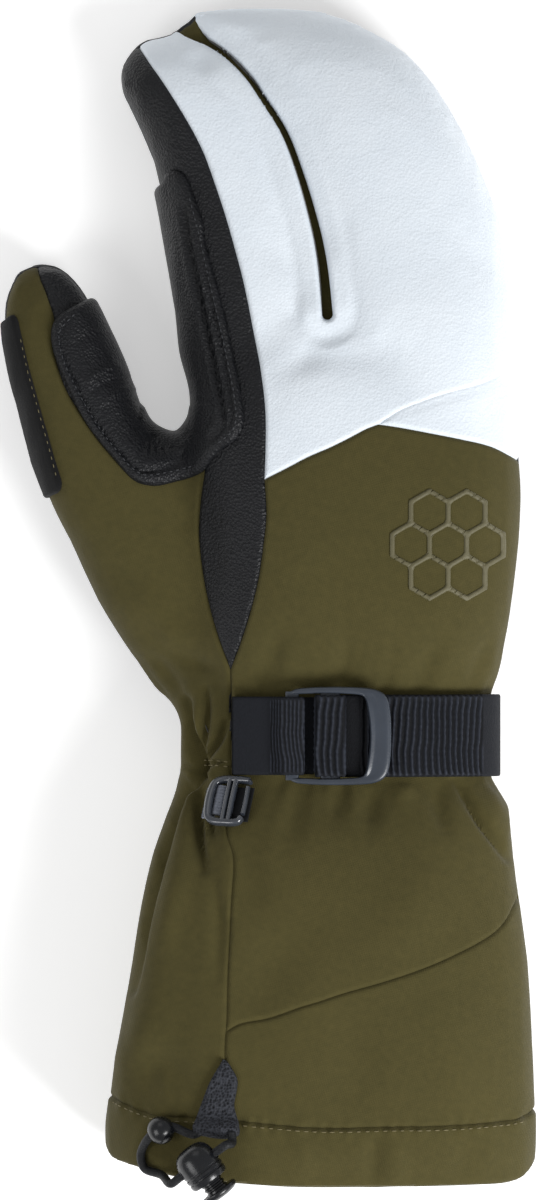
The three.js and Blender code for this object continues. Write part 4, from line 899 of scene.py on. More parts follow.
gusset_band, _ = skin.split(panels["leather_back"], lambda p: SLIT_HALF + 2.4 - slit_distance(p))
panels["leather_back"], _ = skin.split(panels["leather_back"], lambda p: slit_distance(p) - SLIT_HALF)
panels["leather_back"] = skin.rings(
    panels["leather_back"], lambda p: slit_distance(p) - SLIT_HALF, (0.35, 0.9, 1.8, 3.2))
gusset_band = skin.rings(gusset_band, slit_distance, (0.6, 1.6))
tip_gap, panels["index_side"] = skin.split(
    panels["index_side"], lambda p: np.minimum(SLIT_HALF - slit_distance(p), p[:, 1] - 342.0))
gusset_band = np.vstack([gusset_band, tip_gap])
print("slit strip:", len(gusset_band), "triangles")

# %% [markdown]
# ## Sewn edges
# At a seam both panels roll inwards. The groove is under a millimetre deep, so the triangles beside the
# seam are split once more at small distances from it, and then pressed in along the normals.


# %% Distances to the seams of each panel
upper_seams = [
    np.vstack([main_seam, [(-30.3, 21)]]), pointed_seam, knuckle_seam, finger_edge, thumb_edge,
    slanting_seam,
]
lower_seams = [np.vstack([crotch[::-1], root_low[1:]])]
LOWER = ("palm", "thumb_palm", "cuff_palm")


def seam_distance(name, points):
    """Distance in millimetres to the nearest seam of a panel."""
    d = np.abs(height_over(hem_seam, points))
    if name == "cuff_hem":
        return d
    d = np.minimum(d, np.abs(points[:, 2] - middle_height(points)))
    for line in lower_seams if name in LOWER else upper_seams:
        d = np.minimum(d, near_distance(line, points))
    return d


SEAM_DEPTH, SEAM_WIDTH = 0.75, 1.25
HEM_ROLL = 1.6
for name in panels:
    panels[name] = skin.rings(panels[name], lambda p: seam_distance(name, p), (0.3, 0.8, 1.5))
print("triangles in all:", sum(len(t) for t in panels.values()))


# %% Turn each panel into a piece with a wall
def closed_wall(outer, inner, triangles):
    """Joins an outer and an inner surface of the same triangles into one closed wall."""
    count = len(outer)
    edges = np.vstack([triangles[:, [0, 1]], triangles[:, [1, 2]], triangles[:, [2, 0]]])
    ordered = np.sort(edges, 1)
    _, index, number = np.unique(ordered, axis=0, return_index=True, return_counts=True)
    rim = edges[index[number == 1]]
    a, b = rim.T
    faces = np.vstack([
        triangles, triangles[:, ::-1] + count,
        np.column_stack([b, a, a + count]), np.column_stack([b, a + count, b + count]),
    ])
    return np.vstack([outer, inner]), faces, len(triangles)


def make_object(name, points, faces, materials, slots=None, sharp=40):
    """A mesh object in the frame from points in drawing millimetres."""
    mesh = bpy.data.meshes.new(name)
    faces = np.asarray(faces)
    mesh.vertices.add(len(points))
    mesh.vertices.foreach_set("co", to_metres(points).astype(np.float32).ravel())
    sides = faces.shape[1]
    mesh.loops.add(len(faces) * sides)
    mesh.loops.foreach_set("vertex_index", faces.ravel().astype(np.int32))
    mesh.polygons.add(len(faces))
    mesh.polygons.foreach_set("loop_start", (np.arange(len(faces)) * sides).astype(np.int32))
    mesh.polygons.foreach_set("use_smooth", np.ones(len(faces), bool))
    for material in materials:
        mesh.materials.append(material)
    if slots is not None:
        mesh.polygons.foreach_set("material_index", np.asarray(slots, np.int32))
    mesh.update()
    mesh.validate()
    if sharp:
        mesh.set_sharp_from_angle(angle=math.radians(sharp))
    return linked(name, mesh)


def seam_roll(distance):
    return SEAM_DEPTH * (1 - np.clip(distance / SEAM_WIDTH, 0, 1)) ** 2


WALL = 3.2
print("walls are", WALL, "mm thick")

# %% [markdown]
# ## Finishes
# Each finish is a small node tree on Object coordinates. The numbers that are the same all over a
# surface sit on the shader itself. Colours are mixed a little, so that no surface is one flat tone.


# %% A helper for finishes
def colour(hex_text):
    """sRGB text to the linear colour that the shader reads."""
    parts = [int(hex_text[i:i + 2], 16) / 255 for i in (0, 2, 4)]
    linear = [c / 12.92 if c <= 0.04045 else ((c + 0.055) / 1.055) ** 2.4 for c in parts]
    return (*linear, 1.0)


class Finish:
    """A material with its nodes at hand."""

    def __init__(self, name, roughness, **sockets):
        self.material = bpy.data.materials.new(name)
        self.material.use_nodes = True
        self.tree = self.material.node_tree
        self.shader = self.tree.nodes["Principled BSDF"]
        self.shader.inputs["Roughness"].default_value = roughness
        for key, value in sockets.items():
            self.shader.inputs[key.replace("_", " ")].default_value = value
        self.place = self.node("ShaderNodeTexCoord").outputs["Object"]

    def node(self, kind, **settings):
        made = self.tree.nodes.new(kind)
        for key, value in settings.items():
            setattr(made, key, value)
        return made

    def link(self, start, end):
        self.tree.links.new(start, end)

    def mapping(self, scale=(1, 1, 1), turn=(0, 0, 0)):
        made = self.node("ShaderNodeMapping")
        made.inputs["Scale"].default_value = scale
        made.inputs["Rotation"].default_value = turn
        self.link(self.place, made.inputs["Vector"])
        return made.outputs["Vector"]

    def noise(self, scale, detail=4.0, roughness=0.55, vector=None, distortion=0.0):
        made = self.node("ShaderNodeTexNoise")
        made.inputs["Scale"].default_value = scale
        made.inputs["Detail"].default_value = detail
        made.inputs["Roughness"].default_value = roughness
        made.inputs["Distortion"].default_value = distortion
        self.link(vector or self.place, made.inputs["Vector"])
        return made.outputs["Fac"]

    def cells(self, scale, feature="F1", vector=None, randomness=1.0):
        made = self.node("ShaderNodeTexVoronoi", feature=feature)
        made.inputs["Scale"].default_value = scale
        made.inputs["Randomness"].default_value = randomness
        self.link(vector or self.place, made.inputs["Vector"])
        return made.outputs["Distance"]

    def waves(self, scale, direction="X", distortion=0.0, vector=None, detail_scale=1.0):
        made = self.node(
            "ShaderNodeTexWave", wave_type="BANDS", bands_direction=direction, wave_profile="SIN")
        made.inputs["Scale"].default_value = scale
        made.inputs["Distortion"].default_value = distortion
        made.inputs["Detail"].default_value = 2.0
        made.inputs["Detail Scale"].default_value = detail_scale
        self.link(vector or self.place, made.inputs["Vector"])
        return made.outputs["Fac"]

    def ramp(self, value, low, high, first=0.0, last=1.0):
        made = self.node("ShaderNodeMapRange")
        made.inputs["From Min"].default_value = low
        made.inputs["From Max"].default_value = high
        made.inputs["To Min"].default_value = first
        made.inputs["To Max"].default_value = last
        self.link(value, made.inputs["Value"])
        return made.outputs["Result"]

    def sum(self, parts):
        """Adds weighted values."""
        total = None
        for value, weight in parts:
            made = self.node("ShaderNodeMath", operation="MULTIPLY")
            made.inputs[1].default_value = weight
            self.link(value, made.inputs[0])
            out = made.outputs[0]
            if total is not None:
                added = self.node("ShaderNodeMath", operation="ADD")
                self.link(total, added.inputs[0])
                self.link(out, added.inputs[1])
                out = added.outputs[0]
            total = out
        return total

    def tint(self, value, dark, light):
        made = self.node("ShaderNodeMix", data_type="RGBA")
        self.link(value, made.inputs["Factor"])
        made.inputs[6].default_value = colour(dark)
        made.inputs[7].default_value = colour(light)
        self.link(made.outputs[2], self.shader.inputs["Base Color"])
        return made.outputs[2]

    def relief(self, value, depth, strength=1.0):
        """Bump whose depth is in metres."""
        made = self.node("ShaderNodeBump")
        made.inputs["Strength"].default_value = strength
        made.inputs["Distance"].default_value = depth
        self.link(value, made.inputs["Height"])
        self.link(made.outputs["Normal"], self.shader.inputs["Normal"])

    def gloss(self, value, low, high):
        self.link(self.ramp(value, 0.0, 1.0, low, high), self.shader.inputs["Roughness"])


print("finish helper ready")

# %% Leather, cloth and lining
white_leather = Finish("white_leather", 0.5, Coat_Weight=0.06, Coat_Roughness=0.4)
w_soft = white_leather.noise(38, 5, 0.6)
w_grain = white_leather.cells(1250)
w_fine = white_leather.noise(900, 3, 0.6)
w_crease = white_leather.noise(130, 6, 0.62, distortion=0.8)
white_leather.tint(white_leather.sum([(w_soft, 0.7), (w_fine, 0.3)]), "dbe5ef", "f0f6fc")
white_leather.gloss(w_crease, 0.42, 0.6)
white_leather.relief(white_leather.sum([(w_grain, 0.35), (w_fine, 0.25), (w_crease, 0.9)]), 0.00032, 0.8)

olive_cloth = Finish("olive_cloth", 0.85, Specular_IOR_Level=0.2, Sheen_Weight=0.05, Sheen_Roughness=0.5)
o_turned = olive_cloth.mapping(turn=(0, 0, math.radians(12)))
o_warp = olive_cloth.waves(620, "X", 1.2, o_turned)
o_weft = olive_cloth.waves(620, "Y", 1.2, o_turned)
o_mottle = olive_cloth.noise(420, 5, 0.7)
o_soft = olive_cloth.noise(26, 4, 0.5)
olive_cloth.tint(
    olive_cloth.ramp(olive_cloth.sum([(o_mottle, 0.7), (o_soft, 0.3)]), 0.3, 0.7), "443f20", "4f4826")
olive_cloth.relief(olive_cloth.sum([(o_warp, 0.3), (o_weft, 0.3), (o_mottle, 0.5)]), 0.00012, 0.8)

black_leather = Finish("black_leather", 0.5, Specular_IOR_Level=0.3)
b_grain = black_leather.cells(1250)
b_soft = black_leather.noise(60, 5, 0.6)
b_crease = black_leather.noise(190, 7, 0.65, distortion=1.4)
black_leather.tint(black_leather.sum([(b_soft, 0.6), (b_crease, 0.4)]), "0a0b0d", "191a1e")
black_leather.gloss(b_crease, 0.36, 0.58)
black_leather.relief(black_leather.sum([(b_grain, 0.9), (b_crease, 0.7)]), 0.0004, 0.85)

black_suede = Finish("black_suede", 0.95, Specular_IOR_Level=0.15, Sheen_Weight=0.06, Sheen_Roughness=0.6)
s_nap = black_suede.noise(1500, 4, 0.7)
s_soft = black_suede.noise(120, 3, 0.5)
black_suede.tint(black_suede.sum([(s_nap, 0.6), (s_soft, 0.4)]), "0b0b0c", "1c1c1d")
black_suede.relief(s_nap, 0.0003, 0.6)

fleece_lining = Finish("fleece_lining", 0.95, Sheen_Weight=0.4, Sheen_Roughness=0.6)
l_pile = fleece_lining.noise(700, 5, 0.7)
l_curl = fleece_lining.cells(420)
fleece_lining.tint(l_pile, "141416", "2a2b2f")
fleece_lining.relief(fleece_lining.sum([(l_pile, 0.6), (l_curl, 0.6)]), 0.0008, 0.8)
print("soft finishes:", 5)

# %% Webbing, cord, plastic and print
black_webbing = Finish("black_webbing", 0.7, Specular_IOR_Level=0.3, Sheen_Weight=0.04, Sheen_Roughness=0.4)
n_thread = black_webbing.noise(1300, 3, 0.6, black_webbing.mapping((0.35, 1.6, 1)))
n_soft = black_webbing.noise(80, 3, 0.5)
black_webbing.tint(black_webbing.sum([(n_thread, 0.7), (n_soft, 0.3)]), "08090b", "16181c")
black_webbing.relief(n_thread, 0.0002, 0.7)

tab_weave = Finish("tab_weave", 0.75, Specular_IOR_Level=0.2)
t_cells = tab_weave.cells(1150, randomness=0.8)
t_flecks = tab_weave.noise(1100, 4, 0.7)
t_both = tab_weave.sum([(t_cells, 0.7), (t_flecks, 0.5)])
tab_weave.tint(tab_weave.ramp(t_both, 0.25, 0.75), "050506", "3a3c42")
tab_weave.relief(t_cells, 0.0006, 0.9)

moulded_plastic = Finish("moulded_plastic", 0.34, Specular_IOR_Level=0.5)
p_grain = moulded_plastic.noise(1400, 3, 0.5)
p_soft = moulded_plastic.noise(90, 3, 0.5)
moulded_plastic.tint(p_soft, "0b0c0f", "14161a")
moulded_plastic.gloss(p_grain, 0.2, 0.32)
moulded_plastic.relief(p_grain, 0.00005, 0.5)

# Painted reflection: the buckle is tinted a lighter grey than the cord lock's plastic, for the sheen on its
# lever
buckle_plastic_with_painted_reflection = Finish("buckle_plastic_with_painted_reflection", 0.34, Specular_IOR_Level=0.6)
k_grain = buckle_plastic_with_painted_reflection.noise(1400, 3, 0.5)
k_soft = buckle_plastic_with_painted_reflection.noise(90, 3, 0.5)
buckle_plastic_with_painted_reflection.tint(k_soft, "2a2f37", "3b424d")
buckle_plastic_with_painted_reflection.gloss(k_grain, 0.28, 0.4)
buckle_plastic_with_painted_reflection.relief(k_grain, 0.00005, 0.5)

# The ridges of the elastic webbing catch light, so an attribute of the mesh lifts their tone
ribbed_webbing = Finish("ribbed_webbing", 0.7, Specular_IOR_Level=0.18)
g_ridge = ribbed_webbing.node("ShaderNodeAttribute", attribute_name="ridge").outputs["Fac"]
g_thread = ribbed_webbing.noise(1500, 3, 0.7, ribbed_webbing.mapping((1.6, 0.7, 1)))
ribbed_webbing.tint(ribbed_webbing.sum([(g_ridge, 0.8), (g_thread, 0.2)]), "030304", "363a44")
ribbed_webbing.relief(g_thread, 0.00025, 0.8)

rubber_print = Finish("rubber_print", 0.6)
r_soft = rubber_print.noise(300, 3, 0.5)
rubber_print.tint(r_soft, "555037", "625d42")
rubber_print.relief(r_soft, 0.00006, 0.5)

braided_cord = Finish("braided_cord", 0.55, Specular_IOR_Level=0.3)
c_braid = braided_cord.cells(1500, randomness=0.5)
braided_cord.tint(c_braid, "0a0b0d", "1b1d21")
braided_cord.relief(c_braid, 0.0002, 0.7)

white_thread = Finish("white_thread", 0.6)
white_thread.tint(white_thread.noise(3000), "c2cbd6", "dde5ec")
olive_thread = Finish("olive_thread", 0.7)
olive_thread.tint(olive_thread.noise(3000), "5e5637", "7a7050")
black_thread = Finish("black_thread", 0.55)
black_thread.tint(black_thread.noise(3000), "1d1e20", "3b3d42")
print("hard finishes and threads:", 8)

# %% [markdown]
# ## The sewn panels
# Each panel becomes a closed wall with the fleece lining on its inner side. White leather covers the
# back of the fingers, black leather the palm and the finger's side, olive cloth the rest.

# %% Build the panels
PANEL_FINISH = {
    "leather_back": (white_leather, "white_leather"), "knuckle_panel": (white_leather, "white_leather"),
    "index_side": (black_leather, "black_leather"), "thumb_front": (black_leather, "black_leather"),
    "palm": (black_leather, "black_leather"), "thumb_palm": (black_leather, "black_leather"),
}


def dress(thing, node):
    """Stands a finished piece in for its CAD node, on the body of the glove."""
    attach(thing, "glove")
    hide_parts(node)


for name, triangles in panels.items():
    points, lean, faces = skin.taken(triangles)
    down = seam_roll(seam_distance(name, points))
    # The knuckle seam is faint, and runs out flat at the outer side
    if name in ("leather_back", "knuckle_panel"):
        at_knuckle = smooth_step(5, 2.5, distance_to(knuckle_seam, points)[0])
        at_knuckle *= smooth_step(1.5, 3, distance_to(pointed_seam, points)[0])
        down = down * (1 - 0.55 * at_knuckle)
    down = down * (1 - smooth_step(49, 52.5, points[:, 0]) * smooth_step(8, 4, np.abs(points[:, 1] - 245)))
    if name == "leather_back":
        d = slit_distance(points) - SLIT_HALF
        edge_line = distance_to(slit, points)[1]
        right_side = smooth_step(-1, 1, side_of(slit, SLIT_SIDE, points))
        sharp_edge = 2.2 * (1 - round_over(d, 1.4))
        soft_edge = 1.3 * np.exp(-(np.maximum(d, 0) / 3.5) ** 2) * right_side
        sunk_edge = sharp_edge + soft_edge * smooth_step(0, 12, 95 - edge_line)
        points[:, 2] -= sunk_edge * smooth_step(6, 16, edge_line)
        down = np.maximum(down, sunk_edge * smooth_step(16, 6, edge_line))
    if name == "cuff_hem":
        from_mouth = height_over(hem_edge, points)
        down = down + 0.8 * HEM_ROLL * (1 - round_over(from_mouth, HEM_ROLL))
        down = down - 0.35 * smooth_step(0.3, 1.6, seam_distance(name, points))
    outer = points - lean * down[:, None]
    inner = points - lean * (WALL + 0.4 * down)[:, None]
    outer[:, 2] = np.maximum(outer[:, 2], 0.0)
    inner[:, 2] = np.maximum(inner[:, 2], 1.2)
    both, closed, count = closed_wall(outer, inner, faces)
    finish, slot = PANEL_FINISH.get(name, (olive_cloth, "olive_cloth"))
    slots = np.zeros(len(closed), int)
    slots[count:] = 1
    piece = make_object("panel_" + name, both, closed, [finish.material, fleece_lining.material], slots)
    dress(piece, name)
print("panels:", len(panels))

# %% Build the strip in the slit
points, lean, faces = skin.taken(gusset_band)
d, along = distance_to(slit, points)
sunk = 1.0 + (GUSSET_DEPTH - 1.2 - 1.2 * np.clip(d / 4, 0, 1) ** 2) * smooth_step(3, 15, along)
deep = smooth_step(3, 15, along)[:, None]
sink = lean * (1 - deep) + np.array([0, 0, 1.0]) * deep
strip_top = points - sink * sunk[:, None]
strip_bottom = strip_top - sink * 1.6
both, closed, count = closed_wall(strip_top, strip_bottom, faces)
gusset = make_object("strip_in_slit", both, closed, [olive_cloth.material])
dress(gusset, "slit_gusset")
print("strip in the slit:", len(closed), "triangles")

# %% [markdown]
# ## Layers sewn on top
# The grip patch, the suede strip, the woven tab and the print lie on the skin and bend with it. Each is
# cut out of the same fine skin, lifted along its normals and rolled down at its edge.

# %% Outlines of the layers
GRIP_OUTLINE = [
    (-70.5, 268.5), (-75.6, 265.2), (-79.2, 263.1), (-81.9, 261.0), (-83.4, 258.3), (-83.7, 254.7),
    (-82.8, 249.9), (-80.7, 244.5), (-78.0, 238.5), (-75.0, 232.2), (-72.0, 227.4), (-68.4, 222.6),
    (-64.8, 218.4), (-61.8, 214.8), (-59.4, 212.4), (-56.7, 210.9), (-51.9, 210.3), (-46.5, 211.5),
    (-42.0, 212.7), (-38.1, 214.5), (-35.1, 218.4), (-32.4, 221.1), (-29.1, 223.2), (-27.0, 225.9),
    (-25.8, 228.9), (-26.4, 236.1), (-28.5, 247.2), (-31.8, 262.5), (-34.8, 273.9), (-37.5, 284.1),
    (-38.1, 289.5), (-40.2, 295.5), (-42.3, 301.2), (-43.8, 303.9), (-45.9, 305.1), (-48.3, 304.8),
    (-49.8, 301.8), (-54.0, 299.1), (-63.0, 281.1), (-70.5, 268.5),
]
WIPE_OUTLINE = [
    (-103.2, 260.7), (-98.1, 260.1), (-95.1, 261.9), (-93.9, 260.7), (-93.0, 257.1), (-90.3, 245.7),
    (-88.2, 238.2), (-86.1, 230.7), (-84.3, 224.7), (-82.8, 219.3), (-81.3, 214.5), (-80.4, 211.2),
    (-81.0, 208.8), (-83.4, 207.6), (-88.2, 206.1), (-103.2, 230.1), (-103.2, 260.7),
]
TAB_OUTLINE = [
    (-31.5, 40.3), (-29.4, 37.2), (-27.6, 33.6), (-27.9, 30.0), (-28.6, 26.0), (-27.2, 20.5), (-27.0, 17.4),
    (-29.5, 16.2), (-36.5, 16.6), (-39.6, 18.0), (-39.6, 22.5), (-37.8, 27.6), (-35.7, 33.0), (-31.5, 40.3),
]
# name, points in plan, width, height (below zero for a valley)
GRIP_FOLDS = [
    ("groove", [(-42.6, 293.9), (-40.5, 281.1), (-38.1, 269.1), (-35.4, 255.6), (-32.7, 242.1),
     (-30.9, 232.5), (-31.0, 227.7), (-34.0, 224.1)], 0.8, -1.5),
    ("piping", [(-44.2, 293.0), (-42.1, 280.6), (-39.7, 268.7), (-37.0, 255.3), (-34.4, 242.0),
     (-32.8, 233.0), (-33.0, 229.0), (-35.4, 226.2)], 0.7, 0.6),
    ("second_piping", [(-41.2, 291.8), (-39.1, 279.4), (-36.6, 267.6), (-33.9, 254.4), (-31.4, 241.6),
     (-29.8, 232.4), (-29.9, 227.2), (-33.0, 222.6)], 0.6, 0.55),
    ("border_groove", [(-79.0, 260.6), (-80.6, 256.6), (-80.6, 253.0), (-78.9, 247.0), (-75.6, 239.8),
     (-71.7, 232.6), (-67.6, 226.2), (-62.9, 220.4), (-58.8, 216.0), (-55.0, 214.4), (-49.5, 215.2),
     (-43.0, 217.0)], 0.8, -1.2),
    ("second_groove", [(-40.0, 290.0), (-37.0, 276.0), (-34.0, 262.5), (-31.0, 248.5), (-28.9, 237.0),
     (-28.6, 230.0), (-30.4, 226.2)], 0.6, -0.9),
    ("thumb_crease_1", [(-73.2, 241.2), (-69.9, 244.2), (-66.0, 245.7)], 0.8, 0.45),
    ("thumb_crease_2", [(-72.0, 238.2), (-67.5, 240.9), (-62.4, 242.1)], 0.8, -0.5),
    ("thumb_crease_3", [(-69.0, 234.9), (-63.6, 238.2), (-59.4, 239.7)], 0.9, 0.4),
    ("thumb_crease_4", [(-77.4, 252.6), (-74.4, 254.1), (-71.4, 254.7)], 0.8, -0.35),
    ("gather_1", [(-57.0, 222.3), (-56.4, 216.9)], 0.6, -0.55),
    ("gather_2", [(-54.6, 222.9), (-54.3, 217.2)], 0.6, -0.6),
    ("gather_3", [(-52.2, 223.2), (-52.2, 217.5)], 0.6, -0.6),
    ("gather_4", [(-49.5, 222.3), (-50.1, 217.2)], 0.6, -0.5),
    ("gather_5", [(-47.1, 221.1), (-48.0, 216.3)], 0.6, -0.45),
]


def layer(name, outline, lowest, lift, thickness, roll, folds=(), heap=None):
    """A raised layer within an outline in plan and above a height. heap(points) adds to its thickness."""
    edge = smooth_line(outline, 1.0)
    skin_above = np.vstack([upper, lower, panels["cuff_hem"]])
    used = np.unique(skin_above)
    low, high = edge.min(0) - 3, edge.max(0) + 3
    p = skin.points
    close = ((p[:, :2] > low) & (p[:, :2] < high)).all(1)
    skin_above = skin_above[close[skin_above].all(1)]

    def within(p):
        d = near_distance(edge, p, 12.0)
        return np.where(inside(edge, p), d, -d)

    kept, _ = skin.split(skin_above, within)
    kept, _ = skin.split(kept, lambda p: p[:, 2] - lowest)
    kept = skin.rings(kept, lambda p: near_distance(edge, p, 12.0), (0.25, 0.6, 1.1, 1.8, 2.6))
    points, lean, faces = skin.taken(kept)
    d = np.minimum(near_distance(edge, points, 12.0), np.maximum(points[:, 2] - lowest, 0))
    raised = thickness if heap is None else thickness + heap(points)
    rise = lift + raised * round_over(d, roll)
    rise = rise + fold_heights(folds, points, 0.8, 0.06, 0.5) * np.clip(d / roll, 0, 1)
    both, closed, count = closed_wall(points + lean * rise[:, None], points + lean * 0.06, faces)
    return both, closed


print("layer outlines:", 3)

# %% Grip patch, suede strip and tab
both, closed = layer("grip", GRIP_OUTLINE, 13.0, 0.15, 2.1, 2.4, GRIP_FOLDS)
grip_patch = make_object("grip_patch_leather", both, closed, [black_leather.material])
dress(grip_patch, "grip_patch")
both, closed = layer("wipe", WIPE_OUTLINE, 13.0, 0.15, 1.35, 1.0)
suede_strip = make_object("suede_strip", both, closed, [black_suede.material])
dress(suede_strip, "nose_wipe")
# The tab's lower end is folded over, and the cord's ends are sewn into the fold
both, closed = layer("tab", TAB_OUTLINE, 31.0, 0.3, 1.4, 1.0,
                     heap=lambda p: 3.0 * np.exp(-((p[:, 1] - 19.2) / 2.6) ** 2))
woven_tab = make_object("woven_tab", both, closed, [tab_weave.material])
dress(woven_tab, "cord_tab")
print("layers:", [len(thing.data.polygons) for thing in (grip_patch, suede_strip, woven_tab)])

# %% [markdown]
# The print on the back of the hand is a plain honeycomb of thin raised lines, the kind that is pressed on
# as soft rubber. Its cells share their lines.

# %% Honeycomb print
PRINT_MIDDLE = (35.1, 192.6)
PRINT_CELL, PRINT_LINE = 6.4, 1.5
segments = set()
for cell in range(7):
    reach = 0.0 if cell == 0 else math.sqrt(3) * PRINT_CELL
    cx = PRINT_MIDDLE[0] + reach * math.cos(math.radians(60 * cell))
    cy = PRINT_MIDDLE[1] + reach * math.sin(math.radians(60 * cell))
    ring = [
        (round(cx + PRINT_CELL * math.cos(math.radians(60 * k + 30)), 3),
         round(cy + PRINT_CELL * math.sin(math.radians(60 * k + 30)), 3)) for k in range(6)
    ]
    for k in range(6):
        segments.add(tuple(sorted((ring[k], ring[(k + 1) % 6]))))


def print_distance(points):
    best = np.full(len(points), 20.0)
    for line in segments:
        best = np.minimum(best, distance_to(line, points)[0])
    return best


p = skin.points
close = ((np.abs(p[:, 0] - PRINT_MIDDLE[0]) < 20) & (np.abs(p[:, 1] - PRINT_MIDDLE[1]) < 20))
around_print = upper[close[upper].all(1)]
lines, _ = skin.split(around_print, lambda p: PRINT_LINE / 2 - print_distance(p))
points, lean, faces = skin.taken(skin.rings(lines, print_distance, (0.45,)))
from_ridge = np.clip(print_distance(points) / (PRINT_LINE / 2), 0, 1)
rise = 0.12 + 0.5 * np.sqrt(1 - from_ridge ** 2)
both, closed, count = closed_wall(points + lean * rise[:, None], points + lean * 0.05, faces)
print_piece = make_object("honeycomb_print", both, closed, [rubber_print.material])
dress(print_piece, "back_print")
print("print lines:", len(segments))

# %% [markdown]
# ## Wrist strap
# Two lengths of webbing hold the wrist. The left one loops round the buckle's end bar, the right one is
# laced over its middle bar and back. Elastic in the webbing draws it into upright ribs. A strap is flat,
# so it is modelled directly: a strip that follows its line, with the ribs pressed into one side.

# %% Line of the strap over the wrist
CLEARANCE, WEBBING_THICKNESS, BAR_HEIGHT = 0.3, 1.4, 2.4
STRAP_CENTRE, STRAP_HALF, STRAP_LOW, STRAP_HIGH = 1.4127, 46.9, 2.496, 43.992
FIRST = CLEARANCE + WEBBING_THICKNESS / 2
SECOND = FIRST + CLEARANCE + WEBBING_THICKNESS
BAR_LOW = STRAP_HIGH + 2 * CLEARANCE + WEBBING_THICKNESS
BAR_TOP = BAR_LOW + BAR_HEIGHT
OVER_BAR = BAR_TOP + CLEARANCE + WEBBING_THICKNESS / 2
SIDE_ROOM = CLEARANCE + WEBBING_THICKNESS / 2
END_BAR, MIDDLE_BAR = (-13.4, -9.4), (-3.0, 3.0)


def over_wrist(start, end, distance):
    """Points over the wrist between two places across it, as (x, z)."""
    angle = np.radians(np.arange(3, 178, 0.5))
    middle, up = (STRAP_LOW + STRAP_HIGH) / 2, (STRAP_HIGH - STRAP_LOW) / 2

    def at(a):
        return np.column_stack([
            STRAP_CENTRE + np.sign(np.cos(a)) * np.abs(np.cos(a)) ** (2 / TOP_ROUND) * STRAP_HALF,
            middle + np.abs(np.sin(a)) ** (2 / TOP_ROUND) * up,
        ])

    tangent = unit(at(angle + 0.01) - at(angle - 0.01))
    line = at(angle) + np.column_stack([tangent[:, 1], -tangent[:, 0]]) * distance
    line = line[(line[:, 0] > min(start, end)) & (line[:, 0] < max(start, end))]
    return line[::-1] if start < end else line


left_line = np.vstack([
    over_wrist(-29.4, END_BAR[1], FIRST),
    [(END_BAR[1] + SIDE_ROOM, STRAP_HIGH + FIRST), (END_BAR[1] + SIDE_ROOM, OVER_BAR)],
    [(END_BAR[0] - SIDE_ROOM * 0.6, OVER_BAR)],
    [(END_BAR[0] - WEBBING_THICKNESS - 2, STRAP_HIGH + SECOND - 0.1)],
    over_wrist(END_BAR[0] - 5, -29.0, SECOND),
])
right_line = np.vstack([
    over_wrist(51.4, MIDDLE_BAR[0] + 1, FIRST),
    [(MIDDLE_BAR[0] - SIDE_ROOM, STRAP_HIGH + FIRST), (MIDDLE_BAR[0] - SIDE_ROOM, OVER_BAR)],
    [(MIDDLE_BAR[1] + SIDE_ROOM, OVER_BAR), (MIDDLE_BAR[1] + SIDE_ROOM, STRAP_HIGH + SECOND)],
    over_wrist(MIDDLE_BAR[1] + 3, 50.6, SECOND),
])
# A short flat strip of black webbing lies under the buckle's bars, so the slot between them shows dark
under_slot_line = over_wrist(-12.5, -4.6, FIRST - 0.2)
print("strap lines:", len(left_line), len(right_line))


# %% Strip of webbing with ribs
def rounded(line, step=0.3, soften=3):
    """Line with its corners eased, in even steps."""
    legs = lengths_along(line)
    at = np.arange(0, legs[-1], step)
    p = np.column_stack([np.interp(at, legs, line[:, 0]), np.interp(at, legs, line[:, 1])])
    for _ in range(soften):
        p[1:-1] = (p[:-2] + 2 * p[1:-1] + p[2:]) / 4
    return p


def across_line(line):
    """Unit normals of a flat line."""
    tangent = unit(np.gradient(line, axis=0))
    return np.column_stack([-tangent[:, 1], tangent[:, 0]])


WEBBING_STEP = 0.21


